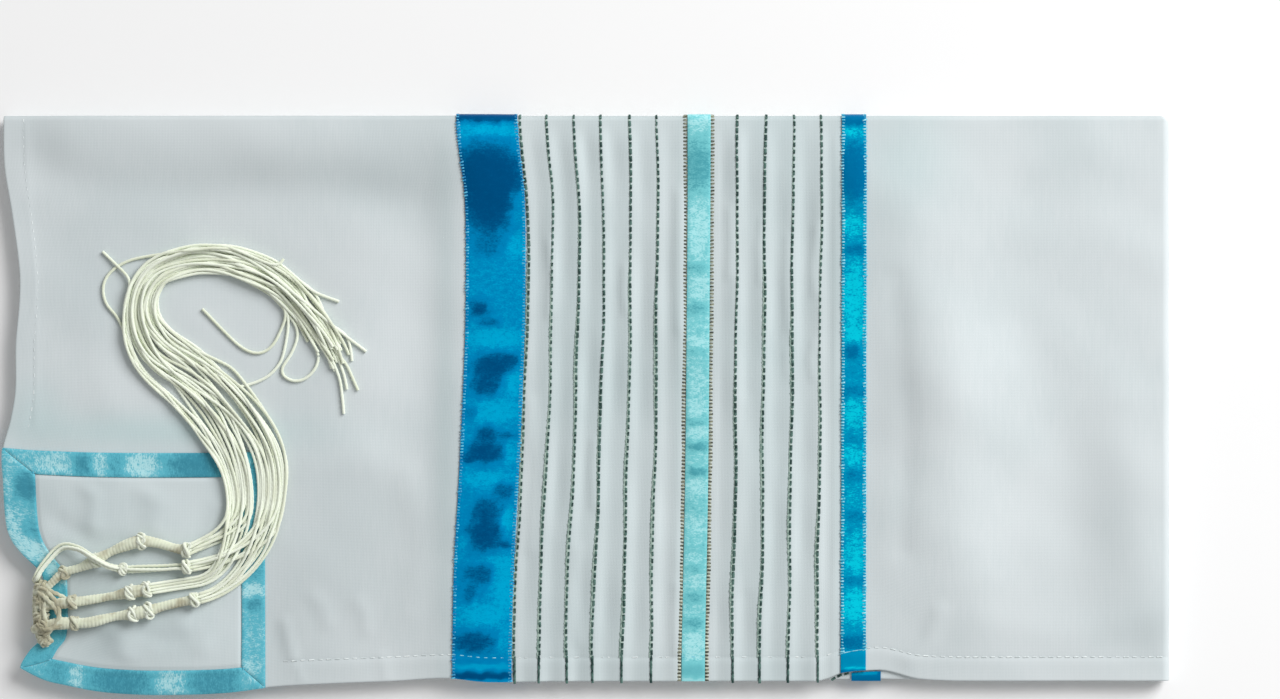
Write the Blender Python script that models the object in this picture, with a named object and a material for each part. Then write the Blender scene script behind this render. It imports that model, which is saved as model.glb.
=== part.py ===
# A prayer shawl folded to a flat packet, lying face up.
#
# Lengths in the tables are millimetres on the packet: x to the right from its left end,
# y up from its lower edge, z up from the table. MM turns them to metres.
# The whole packet is moved to stand on the origin at the end.

import math

import bmesh
import bpy
from mathutils import Vector

MM = 0.001

# The packet
PACKET_LENGTH = 478.9
PACKET_WIDTH = 237.6
HIDDEN_LAYERS = 7
HIDDEN_LAYER = 0.886
BLOCK_HEIGHT = HIDDEN_LAYERS * HIDDEN_LAYER
SEAM_GAP = 0.3
CLOTH = 1.2
FACE_HEIGHT = BLOCK_HEIGHT + SEAM_GAP + CLOTH
TOP_ROLL = 2.2
TOP_ROLL_DROP = 3.3
END_ROLL = 3.2
END_ROLL_DROP = 5.8
FLAT_END = PACKET_LENGTH - END_ROLL
FLAT_TOP = PACKET_WIDTH - TOP_ROLL
HEM_LEFT = 8.4
HEM_LOWER = 9.6
HEM_STEP = 0.5
HEM_SLOPE = 1.2
CORNER_REACH = 150.0
EDGE_REACH = 110.0
CORNER_ROUNDING = (1.4, 1.0)
HIDDEN_CLEARANCE = 0.5
GROOVE = 0.8
FOLD_INSET = 0.9
LAYER_INSETS = (0.7, 1.2, 0.5, 1.4, 0.8, 1.1, 0.6)
SMOOTH_BELOW = math.radians(50)

# What is sewn on
TRIM = 1.0
TRIM_LOW = SEAM_GAP
TRIM_HIGH = SEAM_GAP + TRIM
WIDE_RIBBON = (186.1, 211.1)
LIGHT_RIBBON = (281.1, 290.6)
NARROW_RIBBON = (344.4, 354.4)
STRIPES = (214.0, 223.0, 234.5, 245.2, 257.1, 268.6)
STRIPES_RIGHT = (301.8, 313.2, 324.7, 336.2)
STRIPE_PUFF = 0.55
PUCKER = 0.3
PUCKER_PITCH = 29.0
PATCH_LENGTH = 107.0
PATCH_WIDTH = 98.0
PATCH_RIBBON = 10.0
PATCH_RIBBON_LEFT = 13.2
PATCH_PUFF = 1.0
PATCH_STEPS = 10
PATCH_CLEAR = 6.0
PATCH_LEAN = 4.0

# Tassels
STRANDS = 8
STRANDS_ABREAST = 4
STRAND_RADIUS = 0.6
STRAND_PITCH = 1.45
LEVEL_GAP = 0.5
HEAD_PITCH = 1.28
HEAD_RISE = 0.65
HEAD_DEPTH = 1.6
JOIN_SHARE = 0.09
BUNDLE_STATIONS = 18
FIRST_END = 0.88

# x of the left edge at each height
LEFT_EDGE = (
    # y, x
    (0.0, 8.0), (11.1, 7.4), (18.4, 11.5), (23.0, 16.0), (30.0, 17.2), (43.0, 17.2),
    (50.0, 16.0), (57.4, 8.6), (63.0, 4.2), (69.7, 1.8), (88.1, 0.4), (100.4, 0.0), (112.8, 3.3),
    (125.0, 5.3), (143.5, 5.4), (161.9, 7.0), (174.2, 7.0), (198.8, 3.7), (217.3, 0.8), (238.2, 0.4),
)
# y of the lower edge along the packet
LOWER_EDGE = (
    # x, y
    (7.4, 11.1), (17.6, 6.1), (25.8, 4.1), (38.1, 1.6), (50.4, 0.4), (64.8, 0.0), (91.4, 0.8),
    (111.9, 3.3), (132.4, 4.5), (163.2, 5.7), (183.7, 6.8), (200.1, 5.2), (230.0, 5.5), (478.9, 5.7),
)
# How far the upper layer's hem is lifted clear of the layer below
LIFTED_HEM = (
    # x, rise
    (342.5, 0.0), (348.5, 2.9), (353.4, 5.0), (360.0, 5.0), (372.7, 2.5), (388.3, 0.4), (396.0, 0.0),
)
# How the striped band sways to the right along its height
BAND_SWAY = (
    # y, shift
    (0.0, -1.4), (19.3, -1.4), (50.4, -0.8), (82.0, 0.9), (122.6, 2.9), (162.8, 4.1),
    (203.4, 3.7), (223.9, 1.3), (238.2, 0.0),
)
SWAY_SHARE = (
    # x, share of the sway
    (120.0, 0.0), (186.0, 1.0), (216.0, 0.85), (245.0, 0.5), (269.0, 0.15), (300.0, 0.0),
)
BAND_LEAN = (
    # y, shift
    (0.0, -2.4), (18.4, -2.3), (82.0, -1.2), (163.0, -0.6), (238.2, 0.0),
)
LEAN_SHARE = (
    # x, share of the lean
    (200.0, 0.0), (235.0, 1.0), (334.0, 1.0), (344.0, 0.25), (370.0, 0.0),
)
# The largest folds, each a soft ridge between two places
FOLDS = (
    # x1, y1, x2, y2, half width, height
    (30.0, 229.0, 190.0, 229.0, 17.0, 1.6),
    (142.0, 105.0, 152.0, 180.0, 21.0, 1.3),
    (188.0, 15.0, 190.0, 225.0, 15.0, 0.7),
    (360.0, 203.0, 388.0, 129.0, 21.0, 2.6),
    (388.0, 129.0, 393.0, 50.0, 20.0, 2.5),
    (458.0, 118.0, 471.0, 36.0, 14.0, 1.6),
    (240.0, 60.0, 330.0, 170.0, 40.0, 0.8),
)

# The strands' common path, from where the tassels meet to the loose ends
BUNDLE = (
    # x, y, half width
    (95.5, 51.2, 8.0), (102.5, 67.6, 10.5), (104.5, 84.0, 12.5), (101.7, 100.4, 14.5), (91.4, 116.8, 15.0),
    (77.5, 130.0, 11.0), (62.3, 140.2, 8.2), (56.6, 157.8, 6.9), (61.5, 172.6, 6.7), (76.7, 179.2, 6.7),
    (90.6, 179.6, 6.7), (102.9, 176.3, 6.9), (113.2, 170.6, 7.4), (122.2, 161.9, 8.4), (132.4, 148.4, 9.6),
    (139.4, 132.4, 10.6), (143.5, 116.8, 11.6),
)
# Each tassel's wound cord, from below the cloth's edge to the head that the strands leave
CORDS = {
    "tassel_1": (
        # x, y, height of the middle over the face, radius
        (14.2, 42.4, -3.6, 1.6), (14.2, 42.4, -0.8, 1.7), (15.3, 42.6, 1.6, 1.8), (18.0, 43.2, 2.5, 1.9),
        (21.4, 46.6, 2.3, 1.9), (26.0, 50.4, 2.4, 2.0), (33.0, 52.6, 2.5, 2.1), (38.9, 55.4, 3.2, 2.8),
        (45.0, 58.8, 2.5, 2.1), (51.5, 61.6, 2.9, 2.5), (57.8, 63.3, 3.2, 2.9), (64.0, 62.6, 2.6, 2.2),
        (71.0, 60.6, 2.8, 2.2), (76.5, 59.6, 3.5, 2.8),
    ),
    "tassel_2": (
        (14.0, 46.8, -4.6, 0.9), (13.8, 47.0, -0.6, 0.9), (14.9, 48.6, 2.0, 1.0), (17.6, 53.2, 1.9, 1.0),
        (24.5, 60.6, 1.7, 1.0), (32.0, 60.6, 4.4, 1.0), (38.9, 57.0, 7.5, 1.0), (44.4, 53.4, 4.6, 1.0),
        (50.0, 51.8, 1.8, 1.2), (56.0, 51.6, 1.8, 1.5), (66.0, 52.0, 1.9, 1.5), (71.5, 52.6, 2.6, 2.0),
        (76.5, 52.8, 3.5, 2.6),
    ),
    "tassel_3": (
        (14.2, 36.4, -5.4, 1.6), (14.2, 36.4, -0.8, 1.7), (15.3, 36.5, 1.6, 1.8), (18.0, 36.8, 2.5, 2.0),
        (23.8, 37.7, 2.8, 2.4), (29.5, 38.4, 3.0, 2.6), (36.1, 39.2, 2.5, 2.1), (46.6, 41.0, 2.5, 2.1),
        (53.2, 42.4, 3.2, 2.8), (60.0, 43.6, 3.2, 2.8),
    ),
    "tassel_4": (
        (13.6, 27.0, -6.2, 1.8), (13.6, 27.0, -0.8, 2.0), (14.9, 27.4, 1.8, 2.2), (18.0, 28.4, 2.9, 2.4),
        (23.8, 29.6, 3.2, 2.8), (30.5, 29.8, 2.9, 2.5), (37.0, 30.2, 2.9, 2.5), (46.5, 32.4, 2.5, 2.1),
        (54.5, 33.6, 3.1, 2.7), (61.0, 35.0, 3.2, 2.8), (67.0, 36.8, 2.5, 2.1), (74.0, 38.4, 2.6, 2.2),
        (79.5, 39.4, 3.0, 2.6),
    ),
}
# How each tassel's strands leave its head and where they lie in the bundle
JOINS = {
    # tassel: direction in degrees, straight run, side (0 right, 1 left), level (0 below, 1 above)
    "tassel_1": (24.0, 2.0, 1, 1),
    "tassel_2": (4.0, 3.0, 0, 1),
    "tassel_3": (8.5, 21.0, 1, 0),
    "tassel_4": (12.0, 2.0, 0, 0),
}
STRAY = {
    # tassel and strand: the places it wanders through after it leaves the bundle
    ("tassel_4", 0): ((113.5, 158.0), (111.0, 146.5), (104.0, 141.4), (96.5, 143.6), (90.0, 148.6), (82.4, 157.0)),
}

COLOURS = {
    "cloth": ((0.80, 0.81, 0.82), 0.8),
    "dark_ribbon": ((0.005, 0.22, 0.42), 0.35),
    "light_ribbon": ((0.16, 0.55, 0.62), 0.35),
    "patch_ribbon": ((0.07, 0.38, 0.46), 0.35),
    "yarn": ((0.72, 0.70, 0.60), 0.85),
}


def clear_scene():
    for item in list(bpy.data.objects):
        bpy.data.objects.remove(item, do_unlink=True)


def make_collection(name):
    collection = bpy.data.collections.new(name)
    bpy.context.scene.collection.children.link(collection)
    return collection


def make_material(name):
    colour, roughness = COLOURS[name]
    material = bpy.data.materials.new(name)
    material.use_nodes = True
    shader = material.node_tree.nodes["Principled BSDF"]
    shader.inputs["Base Color"].default_value = (*colour, 1.0)
    shader.inputs["Roughness"].default_value = roughness
    return material


def clamp(value, low=0.0, high=1.0):
    return max(low, min(high, value))


def ease(value):
    t = clamp(value)
    return t * t * (3.0 - 2.0 * t)


def read_table(table, key, column=1):
    # A smooth curve through the table's rows, level at both ends
    if key <= table[0][0]:
        return table[0][column]
    if key >= table[-1][0]:
        return table[-1][column]
    last = len(table) - 1
    row = max(i for i in range(last) if table[i][0] <= key)
    before, start, end, after = (table[clamp(row + i, 0, last)] for i in (-1, 0, 1, 2))
    span = end[0] - start[0]
    slope_start = (end[column] - before[column]) / (end[0] - before[0])
    slope_end = (after[column] - start[column]) / (after[0] - start[0])
    t = (key - start[0]) / span
    return (
        (2 * t**3 - 3 * t**2 + 1) * start[column] + (t**3 - 2 * t**2 + t) * span * slope_start
        + (3 * t**2 - 2 * t**3) * end[column] + (t**3 - t**2) * span * slope_end
    )


def spans(start, end, longest):
    # Even steps from start to end, the end left out
    count = math.ceil((end - start) / longest)
    return [start + (end - start) * i / count for i in range(count)]


def lower_edge(x, lifted):
    rise = read_table(LIFTED_HEM, x) if lifted else 0.0
    return read_table(LOWER_EDGE, x) + rise


def plan(across, up, lifted=True):
    # From a place on the smoothed cloth to its place in the packet's outline
    share_up = up / PACKET_WIDTH
    corner = clamp(1.0 - across / CORNER_REACH) ** 2
    edge = clamp(1.0 - across / EDGE_REACH) ** 2
    low_x = across + read_table(LOWER_EDGE, 0.0, 0) * corner
    low_y = lower_edge(low_x, lifted)
    y = up + low_y * (1.0 - share_up) ** 3
    x = low_x + (across - low_x) * share_up
    plain_left = LOWER_EDGE[0][0] * (1.0 - share_up)
    x += (read_table(LEFT_EDGE, y) - plain_left) * edge
    x += read_table(BAND_SWAY, y) * share_of(SWAY_SHARE, across)
    x += read_table(BAND_LEAN, y) * share_of(LEAN_SHARE, across)
    return x, y


def share_of(table, x):
    return clamp(read_table(table, x))


def fold_height(x, y):
    height = 0.0
    for x1, y1, x2, y2, half_width, rise in FOLDS:
        run = Vector((x2 - x1, y2 - y1))
        along = clamp(Vector((x - x1, y - y1)).dot(run) / run.length_squared)
        nearest = Vector((x1, y1)) + run * along
        height += rise * math.exp(-((Vector((x, y)) - nearest).length / half_width) ** 2)
    return height


def hem_relief(across, up):
    # The turned hem is double cloth. The corner patch hides it.
    left = 1.0 - clamp((across - HEM_LEFT + HEM_SLOPE) / HEM_SLOPE)
    lower = 1.0 - clamp((up - HEM_LOWER + HEM_SLOPE) / HEM_SLOPE)
    left *= ease((up - PATCH_WIDTH - PATCH_CLEAR) / PATCH_CLEAR)
    lower *= ease((across - PATCH_LENGTH - PATCH_CLEAR) / PATCH_CLEAR)
    return HEM_STEP * max(left, lower)


def stripe_relief(across):
    # The cloth stands a little between one woven line and the next
    for lines in (STRIPES + LIGHT_RIBBON[:1], LIGHT_RIBBON[1:] + STRIPES_RIGHT + NARROW_RIBBON[:1]):
        for start, end in zip(lines, lines[1:]):
            if start < across < end:
                return STRIPE_PUFF * math.sin(math.pi * (across - start) / (end - start))
    return 0.0


def patch_puff(across, up):
    # The corner patch stands off the cloth in its middle
    side = clamp((across - PATCH_RIBBON) / (PATCH_LENGTH - 2 * PATCH_RIBBON))
    rise = clamp((up - PATCH_RIBBON) / (PATCH_WIDTH - 2 * PATCH_RIBBON))
    return PATCH_PUFF * math.sin(math.pi * side) * math.sin(math.pi * rise)


def roll(beyond, radius, offset, drop):
    # Past a rounded fold: how far out and how far down the cloth has come
    angle = min(beyond / radius, math.pi / 2)
    out = (radius + offset) * math.sin(angle)
    down = (radius + offset) * (1.0 - math.cos(angle))
    straight = max(0.0, beyond - radius * math.pi / 2)
    return out, down + min(straight, drop - radius)


def face_point(across, up, offset=0.0, relief=0.0):
    # A point of the shawl's upper face, moved out along it, rolled down at the two folds
    x, y = plan(min(across, FLAT_END), min(up, FLAT_TOP))
    out_x, down_x = roll(max(0.0, across - FLAT_END), END_ROLL, offset, END_ROLL_DROP)
    out_y, down_y = roll(max(0.0, up - FLAT_TOP), TOP_ROLL, offset, TOP_ROLL_DROP)
    both = (out_x / END_ROLL) * (out_y / TOP_ROLL)
    down = (down_x**3 + down_y**3) ** (1.0 / 3.0)
    z = FACE_HEIGHT + fold_height(x, y) + offset + relief - down
    x += out_x - CORNER_ROUNDING[0] * both
    y += out_y - CORNER_ROUNDING[1] * both
    return Vector((x, y, z)) * MM


def lay_height(x, y):
    # The height of what the tassels lie on: the cloth, and the corner patch where there is one
    beside = ease((x - PATCH_LENGTH - PATCH_LEAN / 2) / PATCH_RIBBON)
    above = ease((y - PATCH_WIDTH - 1.5 * PATCH_LEAN) / PATCH_RIBBON)
    over = (1.0 - beside) * (1.0 - above)
    puff = patch_puff(x, y - PATCH_LEAN)
    return FACE_HEIGHT + fold_height(x, y) + TRIM_HIGH * over + puff * over


def link_mesh(name, bm, material, smooth=True):
    bmesh.ops.recalc_face_normals(bm, faces=bm.faces)
    mesh = bpy.data.meshes.new(name)
    bm.to_mesh(mesh)
    bm.free()
    if smooth:
        mesh.shade_smooth()
        mesh.set_sharp_from_angle(angle=SMOOTH_BELOW)
    mesh.materials.append(MATERIALS[material])
    thing = bpy.data.objects.new(name, mesh)
    PARTS.objects.link(thing)
    return thing


def make_wall(name, columns, rows, inner, outer, material):
    # A cloth wall: one grid for its under face and its copy for the upper face
    bm = bmesh.new()
    bmesh.ops.create_grid(bm, x_segments=len(columns) - 1, y_segments=len(rows) - 1, size=1.0)
    places = {}
    for vert in bm.verts:
        i = round((vert.co.x + 1.0) / 2.0 * (len(columns) - 1))
        j = round((vert.co.y + 1.0) / 2.0 * (len(rows) - 1))
        places[vert] = (columns[i], rows[j])
    under = list(bm.verts)
    raised = bmesh.ops.extrude_face_region(bm, geom=bm.faces[:])
    for vert in (g for g in raised["geom"] if isinstance(g, bmesh.types.BMVert)):
        i = round((vert.co.x + 1.0) / 2.0 * (len(columns) - 1))
        j = round((vert.co.y + 1.0) / 2.0 * (len(rows) - 1))
        vert.co = outer(columns[i], rows[j])
    for vert in under:
        vert.co = inner(*places[vert])
    return link_mesh(name, bm, material)


def roll_steps(start, radius, drop):
    arc = radius * math.pi / 2
    return [start + arc * i / 3 for i in range(4)] + [start + arc + drop - radius]


def cloth_rows():
    rows = [0.0, HEM_LOWER - HEM_SLOPE, HEM_LOWER, 20.0, 34.0, 47.0, 59.0, 74.0, 92.0]
    rows += spans(110.0, FLAT_TOP, 18.0)
    return rows + roll_steps(FLAT_TOP, TOP_ROLL, TOP_ROLL_DROP)


def cloth_columns():
    columns = [0.0, HEM_LEFT - HEM_SLOPE, HEM_LEFT, 20.0] + spans(32.0, WIDE_RIBBON[0], 17.5)
    columns += [WIDE_RIBBON[0], sum(WIDE_RIBBON) / 2, WIDE_RIBBON[1]]
    left = STRIPES + LIGHT_RIBBON[:1]
    right = LIGHT_RIBBON[1:] + STRIPES_RIGHT + NARROW_RIBBON[:1]
    for lines in (left, right):
        for start, end in zip(lines, lines[1:]):
            columns += [start, (start + end) / 2]
        columns.append(lines[-1])
    columns.append(sum(NARROW_RIBBON) / 2)
    columns += [NARROW_RIBBON[1], NARROW_RIBBON[1] + 5.0] + spans(NARROW_RIBBON[1] + 13.0, FLAT_END, 19.0)
    return columns + roll_steps(FLAT_END, END_ROLL, END_ROLL_DROP)


def make_shawl_top():
    def outer(across, up):
        return face_point(across, up, 0.0, hem_relief(across, up) + stripe_relief(across))

    def inner(across, up):
        return face_point(across, up, -CLOTH)

    return make_wall("shawl_top", cloth_columns(), cloth_rows(), inner, outer, "cloth")


def make_ribbon(name, edges, material, column_count):
    columns = [edges[0] + (edges[1] - edges[0]) * i / column_count for i in range(column_count + 1)]
    rows = []
    cloth = cloth_rows()
    for start, end in zip(cloth, cloth[1:]):
        rows += [start, (start + end) / 2] if end - start > 9.0 else [start]
    rows.append(cloth[-1])

    def pucker(across, up):
        middle = 1.0 - abs(2 * (across - edges[0]) / (edges[1] - edges[0]) - 1.0)
        wave = math.sin(2 * math.pi * up / PUCKER_PITCH + edges[0])
        return PUCKER * (0.4 + 0.6 * middle) * max(wave, 0.0) * clamp((FLAT_TOP - up) / 20.0)

    def outer(across, up):
        return face_point(across, up, TRIM_HIGH, hem_relief(across, up) + pucker(across, up))

    def inner(across, up):
        return face_point(across, up, TRIM_LOW, hem_relief(across, up))

    return make_wall(name, columns, rows, inner, outer, material)


def make_corner_panel():
    inset = PATCH_RIBBON + SEAM_GAP
    shares = [i / PATCH_STEPS for i in range(PATCH_STEPS + 1)]
    inset_left = PATCH_RIBBON_LEFT + SEAM_GAP
    columns = [inset_left + (PATCH_LENGTH - inset_left - inset) * share for share in shares]
    rows = [inset + (PATCH_WIDTH - 2 * inset) * share for share in shares]
    return make_wall(
        "corner_panel", columns, rows,
        lambda across, up: face_point(across, up, TRIM_LOW),
        lambda across, up: face_point(across, up, TRIM_HIGH, patch_puff(across, up)),
        "cloth",
    )


def make_corner_ribbon(side):
    # One mitred ribbon of the patch: along its length, and across from the outer edge inwards
    horizontal = side in ("top", "bottom")
    length = PATCH_LENGTH if horizontal else PATCH_WIDTH
    far = (PATCH_WIDTH if horizontal else PATCH_LENGTH) if side in ("top", "right") else 0.0
    inwards = -1.0 if far else 1.0
    width = PATCH_RIBBON_LEFT if side == "left" else PATCH_RIBBON
    # A mitre runs from the patch's corner to where the two ribbons' inner edges meet
    first_slope = PATCH_RIBBON_LEFT / PATCH_RIBBON if horizontal else PATCH_RIBBON / width
    last_slope = 1.0 if horizontal else PATCH_RIBBON / width

    def place(along, across):
        first = across * first_slope + SEAM_GAP
        last = across * last_slope + SEAM_GAP
        run = first + (length - first - last) * along
        depth = far + inwards * across
        return (run, depth) if horizontal else (depth, run)

    along_steps = [i / PATCH_STEPS for i in range(PATCH_STEPS + 1)]
    across_steps = [0.0, width / 2, width]
    return make_wall(
        "corner_ribbon_" + side, along_steps, across_steps,
        lambda along, across: face_point(*place(along, across), TRIM_LOW),
        lambda along, across: face_point(*place(along, across), TRIM_HIGH),
        "patch_ribbon",
    )


def under_roll(height, radius):
    # How far in the hidden layers stay under a rolled edge of the upper cloth
    room = radius - CLOTH - HIDDEN_CLEARANCE
    above = max(0.0, height - (FACE_HEIGHT - radius))
    return radius - math.sqrt(max(0.0, room**2 - above**2))


def block_inset(side, height):
    # How far each ring of the hidden layers stands in from the outline
    layer = height / HIDDEN_LAYER
    groove = abs(layer - round(layer)) < 0.01
    if side == "end":
        if height > FACE_HEIGHT - END_ROLL_DROP - HIDDEN_CLEARANCE:
            return under_roll(height, END_ROLL)
        return FOLD_INSET + GROOVE * groove
    if side == "top":
        if height > FACE_HEIGHT - TOP_ROLL_DROP - HIDDEN_CLEARANCE:
            return under_roll(height, TOP_ROLL)
        between_pairs = abs(layer / 2 - round(layer / 2)) < 0.01
        return FOLD_INSET + GROOVE * between_pairs - 0.4 * (groove and not between_pairs)
    return LAYER_INSETS[min(int(layer), HIDDEN_LAYERS - 1)] + GROOVE * groove


def make_under_layers():
    # The hidden layers as one rounded solid whose sides show each layer's edge
    columns = [0.0, 9.0, 20.0] + spans(36.0, PACKET_LENGTH, 32.0) + [PACKET_LENGTH]
    rows = [0.0, 8.0, 17.0, 24.0, 42.0, 50.0, 58.0, 70.0, 88.0] + spans(106.0, PACKET_WIDTH, 27.0)
    rows.append(PACKET_WIDTH)
    last_column, last_row = len(columns) - 1, len(rows) - 1
    bm = bmesh.new()
    bmesh.ops.create_grid(bm, x_segments=last_column, y_segments=last_row, size=1.0)
    places = {}
    for vert in bm.verts:
        places[vert] = (
            round((vert.co.x + 1.0) / 2.0 * last_column),
            round((vert.co.y + 1.0) / 2.0 * last_row),
        )

    def ring_point(i, j, height):
        x, y = plan(columns[i], rows[j], lifted=False)
        if i == 0:
            x += block_inset("hem", height)
        if i == last_column:
            x -= block_inset("end", height)
        if j == 0:
            y += block_inset("hem", height)
        if j == last_row:
            y -= block_inset("top", height)
        return Vector((x, y, height)) * MM

    for vert, (i, j) in places.items():
        vert.co = ring_point(i, j, BLOCK_HEIGHT)
    ring = [edge for edge in bm.edges if len(edge.link_faces) == 1]
    for step in range(2 * HIDDEN_LAYERS - 1, -1, -1):
        height = step * HIDDEN_LAYER / 2
        old = {round_key(v): places[v] for edge in ring for v in edge.verts}
        grown = bmesh.ops.extrude_edge_only(bm, edges=ring)["geom"]
        new_verts = [g for g in grown if isinstance(g, bmesh.types.BMVert)]
        for vert in new_verts:
            places[vert] = old[round_key(vert)]
        for vert in new_verts:
            vert.co = ring_point(*places[vert], height)
        ring = [g for g in grown if isinstance(g, bmesh.types.BMEdge) and len(g.link_faces) == 1]
    bmesh.ops.contextual_create(bm, geom=ring)
    return link_mesh("under_layers", bm, "cloth", smooth=False)


def round_key(vert):
    return tuple(round(c, 7) for c in vert.co)


def make_lower_ribbon_end():
    # The next layer's ribbon, where the upper hem is lifted off it
    left, right = 348.6, 359.0
    bottom = 7.3

    def place(along, up, offset):
        x = left + (right - left) * along
        top = lower_edge(x, True) - 2 * SEAM_GAP
        return Vector((x, bottom + (top - bottom) * up, BLOCK_HEIGHT + offset)) * MM

    steps = [i / 6 for i in range(7)]
    return make_wall(
        "lower_ribbon_end", steps, [0.0, 1.0],
        lambda along, up: place(along, up, SEAM_GAP),
        lambda along, up: place(along, up, SEAM_GAP + TRIM),
        "dark_ribbon",
    )


def smooth_path(points, share):
    # A place on a smooth curve through the points, by its share of their number
    last = len(points) - 1
    position = clamp(share) * last
    row = min(int(position), last - 1)
    t = position - row
    p0, p1, p2, p3 = (Vector(points[clamp(row + i, 0, last)]) for i in (-1, 0, 1, 2))
    return 0.5 * (
        2 * p1 + (p2 - p0) * t + (2 * p0 - 5 * p1 + 4 * p2 - p3) * t * t
        + (3 * p1 - p0 - 3 * p2 + p3) * t**3
    )


def bundle_place(share, lane):
    # A place in the bundle: share of its length, lane from -1 on its right to 1 on its left
    here = smooth_path(BUNDLE, share)
    ahead = smooth_path(BUNDLE, share + 0.01)
    behind = smooth_path(BUNDLE, share - 0.01)
    run = Vector((ahead.x - behind.x, ahead.y - behind.y)).normalized()
    left = Vector((-run.y, run.x))
    middle = Vector((here.x, here.y))
    return middle + left * lane * (here.z - STRAND_RADIUS), run


def bundle_base(share):
    # The strands at one station all lie over the highest place below them
    lanes = (-1.0, -0.5, 0.0, 0.5, 1.0)
    return max(lay_height(*bundle_place(share, lane)[0]) for lane in lanes)


def strand_route(tassel, strand):
    direction, lead, side, level = JOINS[tassel]
    column, row = strand % STRANDS_ABREAST, strand // STRANDS_ABREAST
    head = Vector(CORDS[tassel][-1][:3])
    angle = math.radians(direction)
    forward = Vector((math.cos(angle), math.sin(angle)))
    sideways = Vector((-forward.y, forward.x))
    slot = column + row / 2 - (STRANDS_ABREAST - 0.5) / 2
    lane = (side * STRANDS_ABREAST + column + row / 2) / (STRANDS - 0.5) * 2.0 - 1.0
    start = Vector((head.x, head.y)) - forward * HEAD_DEPTH + sideways * slot * HEAD_PITCH
    start_height = head.z + HEAD_RISE * (2 * row - 1)
    layer = 2 * level + row
    layer_height = SEAM_GAP + STRAND_RADIUS + layer * STRAND_PITCH + level * LEVEL_GAP
    led = start + forward * (HEAD_DEPTH + lead)
    end, end_run = bundle_place(JOIN_SHARE, lane)
    reach = (end - led).length
    run = [(start, start_height)]
    for step in range(4):
        t = step / 4
        flat = (
            (2 * t**3 - 3 * t**2 + 1) * led + (t**3 - 2 * t**2 + t) * reach * forward
            + (3 * t**2 - 2 * t**3) * end + (t**3 - t**2) * reach * end_run
        )
        travelled = (lead + reach * t) / 12.0
        run.append((flat, start_height + (layer_height - start_height) * ease(travelled)))
    points = [Vector((p.x, p.y, lay_height(p.x, p.y) + z)) for p, z in run]
    stray = STRAY.get((tassel, strand), ())
    order = (3 * strand + 5 * layer) % STRANDS / (STRANDS - 1)
    finish = 0.69 if stray else FIRST_END + (1.0 - FIRST_END) * order
    steps = [JOIN_SHARE + (1.0 - JOIN_SHARE) * i / BUNDLE_STATIONS for i in range(BUNDLE_STATIONS + 1)]
    for share in [s for s in steps if s < finish - 0.02] + [finish]:
        place = bundle_place(share, lane)[0]
        points.append(Vector((place.x, place.y, bundle_base(share) + layer_height)))
    for place in stray:
        points.append(Vector((*place, lay_height(*place) + layer_height)))
    return [point * MM for point in points]


def make_tube(name, routes, radii, resolution):
    # Round stock along each route, as one closed mesh
    curve = bpy.data.curves.new(name, "CURVE")
    curve.dimensions = "3D"
    curve.bevel_depth = 1.0
    curve.bevel_resolution = resolution
    curve.use_fill_caps = True
    for route, widths in zip(routes, radii):
        spline = curve.splines.new("POLY")
        spline.points.add(len(route) - 1)
        for point, place, width in zip(spline.points, route, widths):
            point.co = (*place, 1.0)
            point.radius = width
    holder = bpy.data.objects.new(name + "_curve", curve)
    PARTS.objects.link(holder)
    graph = bpy.context.evaluated_depsgraph_get()
    mesh = bpy.data.meshes.new_from_object(holder.evaluated_get(graph))
    bm = bmesh.new()
    bm.from_mesh(mesh)
    bmesh.ops.remove_doubles(bm, verts=bm.verts, dist=0.000001)
    bpy.data.objects.remove(holder, do_unlink=True)
    bpy.data.meshes.remove(mesh)
    return link_mesh(name, bm, "yarn")


def make_tassel(name):
    cord = CORDS[name]
    samples = 2 * len(cord)
    route, widths = [], []
    for step in range(samples + 1):
        share = step / samples
        place = smooth_path([row[:3] for row in cord], share)
        radius = smooth_path([(row[3], 0.0, 0.0) for row in cord], share).x
        route.append(Vector((place.x, place.y, lay_height(max(place.x, 18.0), place.y) + place.z)) * MM)
        widths.append(radius * MM)
    tassel = make_tube(name, [route], [widths], 1)
    routes = [strand_route(name, strand) for strand in range(STRANDS)]
    strands = make_tube(name + "_strands", routes, [[STRAND_RADIUS * MM] * len(r) for r in routes], 0)
    PARTS.objects.unlink(strands)
    CUTTERS.objects.link(strands)
    strands.hide_render = True
    strands.display_type = "WIRE"
    fuse = tassel.modifiers.new("strands", "BOOLEAN")
    fuse.operation = "UNION"
    fuse.solver = "EXACT"
    fuse.object = strands
    return tassel


def stand_on_origin():
    # The box of all that shows is centred over the origin and stands on it
    graph = bpy.context.evaluated_depsgraph_get()
    corners = []
    for thing in PARTS.objects:
        shape = thing.evaluated_get(graph).data
        corners += [thing.matrix_world @ vert.co for vert in shape.vertices]
    low = Vector([min(c[axis] for c in corners) for axis in range(3)])
    high = Vector([max(c[axis] for c in corners) for axis in range(3)])
    shift = Vector((-(low.x + high.x) / 2, -(low.y + high.y) / 2, -low.z))
    for thing in list(PARTS.objects) + list(CUTTERS.objects):
        thing.location = shift
    print("moved by", [round(value / MM, 3) for value in shift], "mm")


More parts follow.
